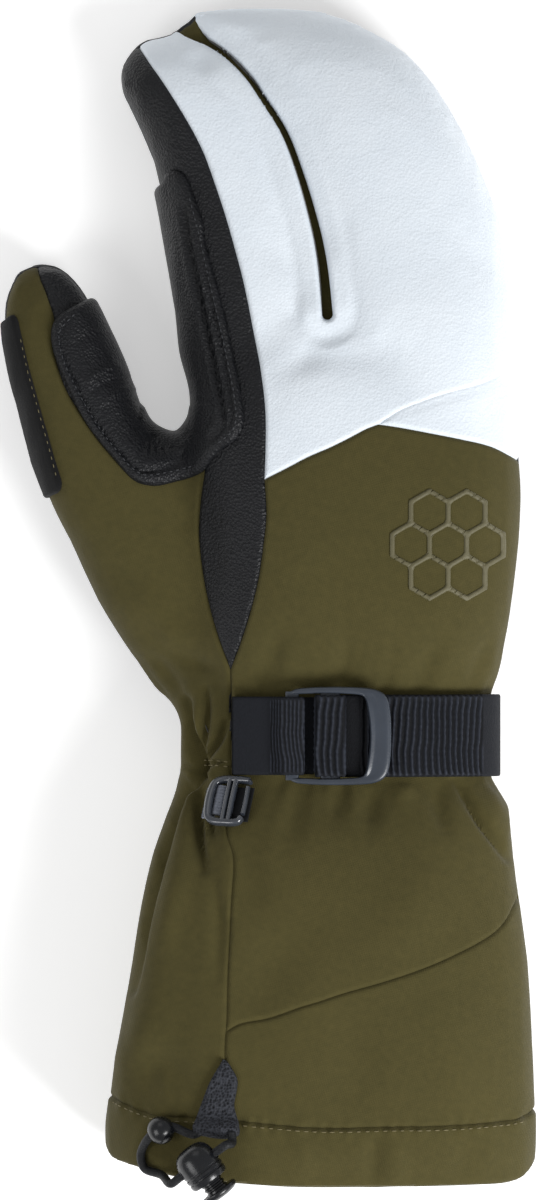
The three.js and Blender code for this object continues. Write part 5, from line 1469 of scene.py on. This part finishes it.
def webbing(line, width, thickness, ribs, pitch, seed):
    """A closed strip: points, faces and a painted tone for each point: light on its ridges, dark between them
    and under the buckle's slot.
    """
    p = rounded(line, WEBBING_STEP, 5)
    normal = across_line(p)
    along = np.arange(len(p)) * WEBBING_STEP
    v = np.array([-1, -0.985, -0.95, *np.linspace(-0.9, 0.9, 25), 0.95, 0.985, 1]) * width / 2
    edge = np.sqrt(np.clip(1 - np.clip((np.abs(v) - (width / 2 - 0.6)) / 0.6, 0, 1) ** 2, 0.05, 1))
    wobble = 0.4 * np.sin(v / 5.1 + seed) + 0.16 * np.sin(v / 2.3 + 2 * seed) + 0.06 * np.sin(v / 0.9)
    phase = along[:, None] + wobble[None, :] + 0.3 * np.sin(along[:, None] / 3.7 + v[None, :] / 9 + seed)
    ridge = np.abs(np.cos(np.pi * phase / pitch)) ** 4
    ridge = ridge * (0.8 + 0.2 * np.sin(v[None, :] * 2.9 + 7 * np.round(phase / pitch)))
    inner_band = smooth_step(width / 2 - 0.4, width / 2 - 1.6, np.abs(v))[None, :]
    strength = ribs(along, p)[:, None] * inner_band
    half = thickness / 2 * edge[None, :]
    top = p[:, None, :] + normal[:, None, :] * (half + strength * (ridge - 0.5))[..., None]
    under = p[:, None, :] - normal[:, None, :] * half[..., None]
    # Between two ridges the elastic draws the edges in a little
    drawn_in = 0.4 * ribs(along, p) * (1 - np.abs(np.cos(np.pi * (along + seed) / pitch)) ** 2)
    y = STRAP_AT + v[None, :] * (1 - drawn_in[:, None] / (width / 2))

    def spatial(q):
        return np.stack([q[..., 0], y, q[..., 1]], -1).reshape(-1, 3)

    rows, cols = top.shape[:2]
    index = np.arange(rows * cols).reshape(rows, cols)
    quads = []
    for grid, flip in ((index, True), (index + rows * cols, False)):
        q = np.stack([grid[:-1, :-1], grid[1:, :-1], grid[1:, 1:], grid[:-1, 1:]], -1).reshape(-1, 4)
        quads.append(q[:, ::-1] if flip else q)
    for rim in (index[:, 0], index[:, -1], index[0], index[-1]):
        quads.append(np.column_stack([rim[:-1], rim[1:], rim[1:] + rows * cols, rim[:-1] + rows * cols]))
    tone = np.where(strength > 0.05, ridge, 0.16)
    # Painted shade: the tone falls to dark where the webbing lies under the buckle's slot
    slot_shade = smooth_step(3.9, 4.6, p[:, 0]) * smooth_step(11.5, 10.5, p[:, 0])
    tone = tone * (1 - slot_shade[:, None])
    both_tones = np.concatenate([tone.ravel(), 0.12 + 0 * tone.ravel()])
    return np.vstack([spatial(top), spatial(under)]), np.vstack(quads), both_tones


def turned_out(thing):
    """Recalculates a closed mesh's normals so that they face outwards."""
    made = bmesh.new()
    made.from_mesh(thing.data)
    bmesh.ops.remove_doubles(made, verts=made.verts, dist=1e-7)
    bmesh.ops.recalc_face_normals(made, faces=made.faces)
    made.to_mesh(thing.data)
    made.free()
    thing.data.update()


def left_ribs(along, p):
    return np.where(p[:, 1] > STRAP_HIGH + 2.2, 0.42, 0.0) * smooth_step(-20, -16, p[:, 0])


def right_ribs(along, p):
    outer = smooth_step(45.6, 44.6, p[:, 0])
    slot = smooth_step(3.4, 4.4, p[:, 0]) * smooth_step(9.5, 8.5, p[:, 0])
    return np.where((p[:, 1] > STRAP_HIGH - 12) & (along > 58), 0.85, 0.0) * outer * (1 - slot)


def strap_piece(name, strips):
    points, faces, tone, base = [], [], [], 0
    for p, f, r in strips:
        points.append(p)
        faces.append(f + base)
        tone.append(r)
        base += len(p)
    thing = make_object(name, np.vstack(points), np.vstack(faces), [ribbed_webbing.material], sharp=60)
    thing.data.attributes.new("ridge", "FLOAT", "POINT").data.foreach_set("value", np.concatenate(tone))
    turned_out(thing)
    return thing


left_webbing = strap_piece("strap_left_webbing", [
    webbing(left_line[::-1], WEBBING_WIDTH - 0.6, 1.3, left_ribs, 1.25, 1.0),
    webbing(under_slot_line, WEBBING_WIDTH - 1.0, 0.9, lambda along, p: 0 * along, 1.9, 0.4),
])
right_webbing = strap_piece("strap_right_webbing", [
    webbing(right_line, WEBBING_WIDTH + 0.6, 1.3, right_ribs, 1.92, 2.3)])
for thing, node in ((left_webbing, "strap_left"), (right_webbing, "strap_right")):
    dress(thing, node)
print("webbing faces:", len(left_webbing.data.polygons), len(right_webbing.data.polygons))

# %% [markdown]
# ## Buckle
# A ladder buckle is one moulding: two rails that curve into a broad lever at the free end, an end bar and
# a middle bar. The rails and the lever are one sweep whose width and height change along its path.


# %% Sweep with a changing section
def sweep(path, widths, heights, squareness=3.0, sides=20):
    """Closed tube through a path in 3-D. The section's width lies level, its height upright."""
    path = np.asarray(path, float)
    tangent = unit(np.gradient(path, axis=0))
    side = unit(np.cross(tangent, [0, 0, 1.0]))
    up = np.cross(side, tangent)
    u, w = squarish(sides, squareness)
    points = (
        path[:, None, :] + side[:, None, :] * (u[None, :] * np.asarray(widths)[:, None] / 2)[..., None]
        + up[:, None, :] * (w[None, :] * np.asarray(heights)[:, None] / 2)[..., None]
    ).reshape(-1, 3)
    return with_ends(points, ring_faces(len(path), sides), sides, path[[0, -1]])


def with_ends(points, faces, sides, middles):
    """The same with its first and last ring closed by a fan round a middle point."""
    last = len(points) - sides
    for start, middle in zip((0, last), middles):
        centre = len(points)
        points = np.vstack([points, middle])
        faces = faces + [(start + i, start + (i + 1) % sides, centre) for i in range(sides)]
    return points, faces


def joined(parts):
    """One list of points and faces from several."""
    points, faces, base = [], [], 0
    for p, f in parts:
        points.append(np.asarray(p))
        faces += [tuple(base + i for i in face) for face in f]
        base += len(p)
    return np.vstack(points), faces


def hard_piece(name, parts, materials, sharp=50, placed=None):
    """A moulded piece from closed parts, with its normals turned outwards."""
    points, faces = joined(parts)
    if placed is not None:
        points = placed(points)
    mesh = bpy.data.meshes.new(name)
    mesh.from_pydata(to_metres(points).tolist(), [], faces)
    for material in materials:
        mesh.materials.append(material)
    thing = linked(name, mesh)
    turned_out(thing)
    mesh.polygons.foreach_set("use_smooth", np.ones(len(mesh.polygons), bool))
    mesh.set_sharp_from_angle(angle=math.radians(sharp))
    return thing


BAR_MIDDLE = (BAR_LOW + BAR_TOP) / 2
# outer edge (across, up the wrist), inner edge (across, up the wrist), height, thickness
HALF_BUCKLE = np.array([
    (-12.9, 12.4, -12.3, 12.1, BAR_MIDDLE - 0.1, 1.8), (-12.2, 13.4, -11.6, 12.35, BAR_MIDDLE, 2.4),
    (-10.0, 14.2, -9.6, 12.5, BAR_MIDDLE + 0.2, 2.7), (-4.0, 14.6, -4.0, 12.7, BAR_MIDDLE + 0.5, 2.8),
    (2.0, 14.7, 2.0, 12.7, BAR_MIDDLE + 0.9, 2.9), (7.0, 14.6, 6.6, 12.5, BAR_MIDDLE + 1.3, 3.0),
    (11.5, 14.4, 9.4, 12.2, BAR_MIDDLE + 1.7, 3.1), (14.8, 13.7, 10.4, 11.4, BAR_MIDDLE + 2.0, 3.1),
    (16.9, 12.0, 10.8, 9.9, BAR_MIDDLE + 2.1, 3.1), (17.7, 9.0, 11.1, 8.0, BAR_MIDDLE + 2.2, 3.1),
    (18.1, 5.0, 11.6, 5.0, BAR_MIDDLE + 2.2, 3.1), (18.2, 0.0, 11.9, 0.0, BAR_MIDDLE + 2.2, 3.1),
])
other_half = HALF_BUCKLE[-2::-1] * np.array([1, -1, 1, -1, 1, 1])
buckle_table = np.vstack([HALF_BUCKLE, other_half])
middle_line = (buckle_table[:, :2] + buckle_table[:, 2:4]) / 2
place = lengths_along(middle_line)
at = np.linspace(0, place[-1], 120)
buckle_rows = np.column_stack([np.interp(at, place, buckle_table[:, i]) for i in range(6)])
for _ in range(5):
    buckle_rows[1:-1] = (buckle_rows[:-2] + 2 * buckle_rows[1:-1] + buckle_rows[2:]) / 4


def end_faces(rows, sides):
    """One flat face at each end of a tube."""
    return [tuple(range(sides)), tuple(range((rows - 1) * sides, rows * sides))]


def frame_between(rows, sides=28, squareness=3.6):
    """Closed bar between an outer and an inner edge, with rounded corners and a raised inner lip."""
    u, w = squarish(sides, squareness)
    outer, inner = rows[:, None, 0:2], rows[:, None, 2:4]
    share = (u[None, :, None] + 1) / 2
    plan = inner * (1 - share) + outer * share
    wide = smooth_step(3.0, 5.5, np.linalg.norm(rows[:, 0:2] - rows[:, 2:4], axis=1))[:, None]
    top = w[None, :] > 0
    lip = 0.45 * np.exp(-((u[None, :] + 0.86) / 0.16) ** 2) * wide
    dish = -0.5 * np.exp(-((u[None, :] + 0.35) / 0.4) ** 2) * wide
    z = rows[:, None, 4] + w[None, :] * rows[:, None, 5] / 2 + np.where(top, lip + dish, 0)
    points = np.concatenate([plan[..., :1], plan[..., 1:] + STRAP_AT, z[..., None]], -1).reshape(-1, 3)
    return points, ring_faces(len(rows), sides) + end_faces(len(rows), sides)


def bar_between(x0, x1, width):
    y = np.linspace(-width / 2, width / 2, 12)
    path = np.column_stack([np.full(12, (x0 + x1) / 2), STRAP_AT + y, np.full(12, BAR_MIDDLE)])
    return sweep(path, np.full(12, x1 - x0), np.full(12, BAR_HEIGHT), 5.0)


buckle = hard_piece("ladder_buckle", [
    frame_between(buckle_rows),
    bar_between(*END_BAR, 26.4), bar_between(*MIDDLE_BAR, 27.0),
], [buckle_plastic_with_painted_reflection.material])
dress(buckle, "buckle")
print("buckle faces:", len(buckle.data.polygons))

# %% [markdown]
# ## Hook and its tape
# A small hook hangs beside the strap to clip the pair together. It has an eye for its tape, a double rib
# in the middle and an open eye whose thin outer bar is free at one end.

# %% Hook on the cuff
hook_plastic = Finish("hook_plastic", 0.22, Specular_IOR_Level=0.8, Coat_Weight=0.6, Coat_Roughness=0.1)
hook_plastic.tint(hook_plastic.noise(300, 3, 0.5), "2a2e35", "3b4049")
HOOK_AXES = np.array([(0.9480, -0.0329, 0.3167), (0.1844, 0.8676, -0.4619), (-0.2596, 0.4962, 0.8285)])
HOOK_AT = np.array([-30.272, 115.559, 45.646])
HOOK_WIDTH, HOOK_THICKNESS = 12.6, 2.6


def on_hook(points):
    return HOOK_AT + np.asarray(points) @ HOOK_AXES


def even(points, count):
    """Rounded path with an even number of steps."""
    line = smooth_line(points, 0.4)
    place = lengths_along(line)
    at = np.linspace(0, place[-1], count)
    return np.column_stack([np.interp(at, place, line[:, i]) for i in range(3)])


MID = HOOK_THICKNESS / 2
c_shape = even([
    (5.6, 7.0, MID), (3.2, 7.2, MID), (0.0, 7.2, MID), (-3.0, 6.9, MID + 0.1), (-4.9, 5.6, MID + 0.2),
    (-5.5, 3.0, MID + 0.3), (-5.65, 0.0, MID + 0.3), (-5.5, -3.0, MID + 0.3), (-4.9, -5.8, MID + 0.2),
    (-3.0, -7.0, MID + 0.1), (0.0, -7.2, MID), (3.2, -7.2, MID), (4.7, -6.7, MID), (5.4, -5.5, MID),
], 70)
c_width = np.interp(
    np.linspace(0, 1, 70), [0, 0.08, 0.3, 0.5, 0.7, 0.95, 1], [1.8, 2.1, 2.3, 2.6, 2.3, 2.0, 1.6])
thin_bar = even([(5.55, -4.3, MID), (5.62, 0.0, MID), (5.5, 4.9, MID)], 16)
ribs_at = [even([(x, -7.0, MID + 0.2), (x, 0, MID + 0.5), (x, 7.0, MID + 0.2)], 14) for x in (-0.25, 1.55)]
hook = hard_piece("glove_hook_moulding", [
    sweep(c_shape, c_width, np.full(70, 2.8), 2.6, 16),
    sweep(thin_bar, np.full(16, 1.35), np.full(16, 1.8), 2.4, 12),
    sweep(ribs_at[0], np.full(14, 1.5), np.full(14, 2.6), 2.6, 12),
    sweep(ribs_at[1], np.full(14, 1.5), np.full(14, 2.6), 2.6, 12),
    sweep(even([(0.6, -6.8, 0.9), (0.6, 6.8, 0.9)], 4), np.full(4, 1.4), np.full(4, 1.0), 4.0, 8),
    sweep(even([(4.9, 7.0, MID), (5.7, 6.9, MID), (6.0, 6.2, MID)], 6),
          np.full(6, 1.35), np.full(6, 1.7), 2.2, 10),
], [hook_plastic.material], placed=on_hook)
dress(hook, "glove_hook")
print("hook faces:", len(hook.data.polygons))

# %% Tape through the hook
TAPE = WEBBING_THICKNESS * 0.7
tape_line = rounded(np.array([
    (-HOOK_WIDTH / 2 - 1.5, -CLEARANCE - TAPE / 2), (-4.3, -CLEARANCE - TAPE / 2), (-3.9, 0.8),
    (-3.1, 1.45), (-1.9, 1.2), (-1.2, 0.1), (0.6, -CLEARANCE - TAPE / 2),
]), 0.2, 3)


def tape_piece():
    v = np.linspace(-4.9, 4.9, 41)
    rib = 0.10 * np.cos(2 * np.pi * v / 1.0)
    rings = []
    for q, n in zip(tape_line, across_line(tape_line)):
        top = [(q[0] + n[0] * (TAPE / 2 + r), y, q[1] + n[1] * (TAPE / 2 + r)) for y, r in zip(v, rib)]
        under = [(q[0] - n[0] * TAPE / 2, y, q[1] - n[1] * TAPE / 2) for y in v[::-1]]
        rings.append(top + under)
    rows, sides = len(rings), len(rings[0])
    return np.array(rings).reshape(-1, 3), ring_faces(rows, sides) + end_faces(rows, sides)


grey_tape = Finish("grey_tape", 0.6, Sheen_Weight=0.1)
grey_tape.tint(grey_tape.noise(900, 3, 0.6), "5b5f6a", "8d93a0")
grey_tape.relief(grey_tape.waves(900, "X", 0.6), 0.0001, 0.6)
hook_tape = hard_piece("hook_tape_strip", [tape_piece()], [grey_tape.material], placed=on_hook)
dress(hook_tape, "hook_tape")

# A flat black tape lies under the hook: partly the tape that holds its other end, partly a dark sheet for the
# shade inside the hook's eyes
tape_and_shade_under_hook = hard_piece("hook_tape_and_shade", [
    sweep(even([(2.6, -5.6, -0.75), (2.6, 5.6, -0.75)], 12), np.full(12, 8.4), np.full(12, 0.8), 8.0, 24),
], [black_webbing.material], placed=on_hook)
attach(tape_and_shade_under_hook, "glove")
print("tape faces:", len(hook_tape.data.polygons))

# %% [markdown]
# ## Cord, bead and lock
# A thin cord leaves the woven tab, passes a bead, makes a bight at the edge of the cuff and returns
# through a spring lock. Its points are the same as the CAD route's.

# %% Cord along its route
CORD_DIAMETER = 2.6
CORD_ROUTE = [
    (-37.791, 19.056, 60.604), (-40.591, 17.456, 60.544), (-47.788, 19.840, 59.358),
    (-50.388, 18.640, 59.358), (-52.988, 17.440, 59.358), (-56.388, 11.240, 53.793),
    (-55.388, 7.040, 53.046), (-50.388, 5.240, 55.603), (-47.312, 2.966, 62.820),
    (-44.911, 4.711, 63.716), (-33.386, 13.084, 68.013), (-30.985, 14.829, 68.908),
    (-29.191, 15.256, 64.608), (-29.391, 18.256, 63.750),
]
cord_line = smooth_line(CORD_ROUTE, 0.7)


def round_tube(path, radius, sides=12):
    """Tube with a section that doesn't twist, closed at both ends."""
    path = np.asarray(path, float)
    tangent = unit(np.gradient(path, axis=0))
    side = np.cross(tangent[0], [0, 0, 1.0])
    side /= np.linalg.norm(side)
    points = []
    for p, t in zip(path, tangent):
        side = side - t * np.dot(side, t)
        side /= np.linalg.norm(side)
        up = np.cross(t, side)
        for i in range(sides):
            a = 2 * math.pi * i / sides
            points.append(p + radius * (math.cos(a) * side + math.sin(a) * up))
    return np.array(points), ring_faces(len(path), sides) + end_faces(len(path), sides)


cord = hard_piece("draw_cord", [round_tube(cord_line, CORD_DIAMETER / 2)], [braided_cord.material], sharp=80)


# %% Turned pieces on an axis
def turned(profile, sides=48, hollow=False):
    """A profile of (along the axis, radius) turned round the X axis: a ring where the profile closes
    on itself, and else a solid whose ends are closed on the axis."""
    angles = [2 * math.pi * i / sides for i in range(sides)]
    points = np.array([(x, r * math.cos(a), r * math.sin(a)) for x, r in profile for a in angles])
    faces = ring_faces(len(profile), sides, closed=hollow)
    if hollow:
        return points, faces
    return with_ends(points, faces, sides, [(profile[0][0], 0, 0), (profile[-1][0], 0, 0)])


BEAD_AT = np.array([-50.388, 18.640, 59.358])
bead_x = np.array([2.6, 1.2, 0.0]) / np.linalg.norm([2.6, 1.2, 0.0])
bead_axes = np.array([bead_x, np.cross([0, 0, 1.0], bead_x), [0, 0, 1.0]])
bead_angle = np.linspace(math.radians(22), math.radians(158), 22)
bead_profile = [(4.1 * math.cos(a), 4.25 * math.sin(a)) for a in bead_angle]
bead_profile += [(-3.2, 1.6), (-1.5, 1.56), (1.5, 1.56), (3.2, 1.6)]
bead = hard_piece("cord_bead_moulding", [turned(bead_profile, 40, hollow=True)], [moulded_plastic.material],
                  placed=lambda p: BEAD_AT + p @ bead_axes)

LOCK_AXES = np.array([(0.5962, -0.8020, -0.0363), (0.7745, 0.5627, 0.2888), (-0.2112, -0.2003, 0.9567)])
LOCK_AT = np.array([-39.1485, 8.8976, 65.8644])
LOCK_SHARP = 35


def on_lock(points):
    return LOCK_AT + np.asarray(points) @ LOCK_AXES


barrel_profile = [
    (-6.0, 0.2), (-5.95, 1.6), (-5.7, 3.0), (-5.1, 4.3), (-4.2, 5.2), (-3.0, 5.8), (-1.5, 6.1), (0.4, 6.2),
    (1.6, 6.2), (1.9, 5.95), (2.2, 5.95), (2.5, 6.2), (3.3, 6.15), (3.6, 5.85), (3.9, 5.85), (4.2, 6.1),
    (5.2, 6.0), (5.8, 5.7), (6.0, 5.3), (6.0, 3.9), (5.6, 3.8), (-3.6, 3.8), (-4.0, 3.4), (-4.0, 0.2),
]
barrel = hard_piece(
    "cord_lock_barrel_moulding", [turned(barrel_profile, hollow=True)], [moulded_plastic.material],
    placed=on_lock, sharp=LOCK_SHARP)
bore = round_tube([(0, y, 0) for y in np.linspace(-12, 12, 9)], 1.66, 20)
cutter = hard_piece("cutter", [bore], [], placed=on_lock)
hole = barrel.modifiers.new("hole", "BOOLEAN")
hole.object = cutter
hole.operation = "DIFFERENCE"
hole.solver = "EXACT"
bored = made_plain(barrel)
drop(cutter)
bored.polygons.foreach_set("use_smooth", np.ones(len(bored.polygons), bool))
bored.set_sharp_from_angle(angle=math.radians(LOCK_SHARP))

button_profile = [
    (5.2, 3.4), (6.6, 3.45), (6.9, 3.1), (7.3, 3.1), (7.6, 3.45), (8.0, 3.45), (8.3, 3.1), (8.7, 3.1),
    (9.0, 3.45), (9.5, 3.5), (9.5, 5.6), (9.75, 5.9), (10.4, 5.95), (11.0, 5.6), (11.5, 4.7),
    (11.8, 3.2), (11.9, 1.5),
]
button = hard_piece("cord_lock_button_moulding", [turned(button_profile)], [moulded_plastic.material],
                    placed=on_lock, sharp=LOCK_SHARP)
for thing, node, slot in ((cord, "drawcord", "cord"), (bead, "cord_bead", "black_plastic"),
                          (barrel, "cord_lock_barrel", "black_plastic")):
    dress(thing, node)
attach(button, "lock_button")
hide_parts("cord_lock_button")
print("lock, button and bead made")

# %% [markdown]
# ## Stitches
# A stitch repeats along a seam, so Geometry Nodes set them. The line is resampled to the pitch, a small
# rounded bar is put on each point along the line, and the result is turned into a plain mesh.


# %% Tree for stitches
def stitch_tree():
    tree = bpy.data.node_groups.new("stitches_on_line", "GeometryNodeTree")
    sockets = {}
    tree.interface.new_socket("Geometry", in_out="INPUT", socket_type="NodeSocketGeometry")
    kinds = {"Pitch": "Float", "Length": "Float", "Thickness": "Float", "Seed": "Int", "Material": "Material"}
    for name, kind in kinds.items():
        socket = tree.interface.new_socket(name, in_out="INPUT", socket_type="NodeSocket" + kind)
        sockets[name] = socket.identifier
    tree.interface.new_socket("Geometry", in_out="OUTPUT", socket_type="NodeSocketGeometry")
    add = tree.nodes.new
    start, end = add("NodeGroupInput"), add("NodeGroupOutput")
    curve = add("GeometryNodeMeshToCurve")
    resample = add("GeometryNodeResampleCurve")
    resample.mode = "LENGTH"
    tangent = add("GeometryNodeInputTangent")
    align = add("FunctionNodeAlignRotationToVector")
    align.axis = "X"
    ball = add("GeometryNodeMeshUVSphere")
    ball.inputs["Segments"].default_value = 8
    ball.inputs["Rings"].default_value = 5
    ball.inputs["Radius"].default_value = 0.5
    scale = add("ShaderNodeCombineXYZ")
    vary = add("FunctionNodeRandomValue")
    vary.data_type = "FLOAT"
    vary.inputs[2].default_value = 0.85
    vary.inputs[3].default_value = 1.1
    times = add("ShaderNodeMath")
    times.operation = "MULTIPLY"
    place = add("GeometryNodeInstanceOnPoints")
    real = add("GeometryNodeRealizeInstances")
    smooth = add("GeometryNodeSetShadeSmooth")
    finish = add("GeometryNodeSetMaterial")
    link = tree.links.new
    link(start.outputs["Geometry"], curve.inputs["Mesh"])
    link(curve.outputs["Curve"], resample.inputs["Curve"])
    link(start.outputs["Pitch"], resample.inputs["Length"])
    link(resample.outputs["Curve"], place.inputs["Points"])
    link(ball.outputs["Mesh"], place.inputs["Instance"])
    link(tangent.outputs["Tangent"], align.inputs["Vector"])
    link(align.outputs["Rotation"], place.inputs["Rotation"])
    link(start.outputs["Seed"], vary.inputs["Seed"])
    link(vary.outputs[1], times.inputs[0])
    link(start.outputs["Length"], times.inputs[1])
    link(times.outputs[0], scale.inputs["X"])
    link(start.outputs["Thickness"], scale.inputs["Y"])
    link(start.outputs["Thickness"], scale.inputs["Z"])
    link(scale.outputs["Vector"], place.inputs["Scale"])
    link(place.outputs["Instances"], real.inputs["Geometry"])
    link(real.outputs["Geometry"], smooth.inputs["Geometry"])
    link(smooth.outputs["Geometry"], finish.inputs["Geometry"])
    link(start.outputs["Material"], finish.inputs["Material"])
    link(finish.outputs["Geometry"], end.inputs["Geometry"])
    return tree, sockets


stitch_group, stitch_sockets = stitch_tree()
print("stitch inputs:", list(stitch_sockets))


# %% Lay stitches on the pieces
def surface_of(things):
    """A search tree over the finished pieces, in metres."""
    points, faces, base = [], [], 0
    for thing in things:
        mesh = thing.data
        points.append(coordinates(mesh))
        faces += [[base + i for i in polygon.vertices] for polygon in mesh.polygons]
        base += len(mesh.vertices)
    return BVHTree.FromPolygons([tuple(p) for p in np.vstack(points)], faces)


def dropped(tree, line, lift):
    """The line laid on the pieces from above, in metres, lifted a little."""
    laid = []
    for x, y in to_metres(np.column_stack([line[:, :2], np.zeros(len(line))]))[:, :2]:
        hit, normal, _, _ = tree.ray_cast(Vector((x, y, 0.2)), Vector((0, 0, -1)))
        if hit is not None:
            laid.append(tuple(hit + normal * lift))
    return laid


def stitch_lines(name, laid_lines, pitch, length, thickness, finish, seed):
    points, edges = [], []
    for laid in laid_lines:
        base = len(points)
        points += laid
        edges += [(base + i, base + i + 1) for i in range(len(laid) - 1)]
    mesh = bpy.data.meshes.new(name)
    mesh.from_pydata(points, edges, [])
    thing = linked(name, mesh)
    nodes = thing.modifiers.new("stitches", "NODES")
    nodes.node_group = stitch_group
    values = {
        "Pitch": pitch, "Length": length, "Thickness": thickness, "Seed": seed, "Material": finish.material}
    for key, value in values.items():
        nodes[stitch_sockets[key]] = value
    made = made_plain(thing)
    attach(thing, "glove")
    print(name, len(made.polygons), "faces")
    return thing


cloth_panels = ("cuff_hem", "cuff_side", "cuff_back_lower")
cloth_tree = surface_of([bpy.data.objects["panel_" + name] for name in cloth_panels])
patch_tree = surface_of([grip_patch])
strip_tree = surface_of([bpy.data.objects["panel_thumb_back"], suede_strip])
below_hem = hem_seam[(hem_seam[:, 0] > -66) & (hem_seam[:, 0] < 58)] - (0, 1.3)
left_part = below_hem[below_hem[:, 0] < -40]
right_part = below_hem[below_hem[:, 0] > -28]
wrist_line = np.array([(-37.5, 128.1), (-34.5, 128.1), (-31.2, 127.8)])
stitch_lines(
    "stitches_on_cloth",
    [dropped(cloth_tree, smooth_line(line, 0.6), 0.00005)
     for line in (left_part, right_part, wrist_line, wrist_line - (0, 1.5))],
    0.0026, 0.0017, 0.00042, olive_thread, 3)
GRIP_STITCH = [
    (-77.0, 261.5), (-81.0, 257.1), (-81.3, 253.5), (-79.8, 247.5), (-76.5, 240.3), (-72.6, 233.1),
    (-68.4, 226.5), (-63.6, 220.5), (-59.4, 215.7), (-55.5, 213.6), (-49.5, 214.2), (-42.0, 216.0),
]
FINGER_STITCH = [
    (-33.0, 223.4), (-29.6, 226.2), (-28.2, 229.8), (-28.6, 236.5), (-30.6, 247.2), (-33.8, 262.0),
    (-36.9, 275.0), (-39.6, 287.0), (-42.0, 296.0),
]
stitch_lines(
    "stitches_on_patch",
    [dropped(patch_tree, smooth_line(line, 0.6), 0.0001) for line in (GRIP_STITCH, FINGER_STITCH)],
    0.0020, 0.0013, 0.00045, black_thread, 5)
WIPE_STITCH = [(-92.9, 254.0), (-90.6, 243.9), (-87.6, 233.1), (-84.6, 222.6), (-82.3, 214.0)]
stitch_lines(
    "stitches_on_strip", [dropped(strip_tree, smooth_line(WIPE_STITCH, 0.6), 0.0001)],
    0.0024, 0.0012, 0.0003, olive_thread, 7)

# %% [markdown]
# ## Floor and light
# A pale floor and large soft lights, as for a catalogue photograph. Most of the light comes from above
# and from the wrist's side, so the tips of the fingers fall off a little.

# %% Floor, lights and world
floor_finish = Finish("pale_floor", 0.9)
floor_finish.shader.inputs["Base Color"].default_value = (0.95, 0.95, 0.95, 1)
floor_finish.shader.inputs["Emission Color"].default_value = (1, 1, 1, 1)
floor_finish.shader.inputs["Emission Strength"].default_value = 0.4
floor_mesh = bpy.data.meshes.new("floor")
floor_mesh.from_pydata([(-3, -3, 0), (3, -3, 0), (3, 3, 0), (-3, 3, 0)], [], [(0, 1, 2, 3)])
floor_mesh.materials.append(floor_finish.material)
floor = linked("floor", floor_mesh)
floor.location.z = -0.0006


def soft_light(name, place, target, size, power, tone=(1, 1, 1)):
    data = bpy.data.lights.new(name, "AREA")
    data.shape = "SQUARE"
    data.size = size
    data.energy = power
    data.color = tone
    light = linked(name, data)
    light.location = place
    aim = Vector(target) - Vector(place)
    light.rotation_euler = aim.to_track_quat("-Z", "Y").to_euler()


soft_light("key", (0.85, -0.7, 0.85), (0, 0, 0.02), 0.55, 17.5)
soft_light("fill", (-0.8, -0.5, 0.9), (0, 0, 0.02), 0.6, 4.2)
soft_light("back", (-0.2, 1.2, 1.1), (0, 0, 0.02), 0.9, 1.5)
world = bpy.data.worlds.new("world")
world.use_nodes = True
world.node_tree.nodes["Background"].inputs["Color"].default_value = (1, 1, 1, 1)
world.node_tree.nodes["Background"].inputs["Strength"].default_value = 0.36
bpy.context.scene.world = world
bpy.context.scene.view_settings.view_transform = "Standard"
print("lights: 3 and a white world")
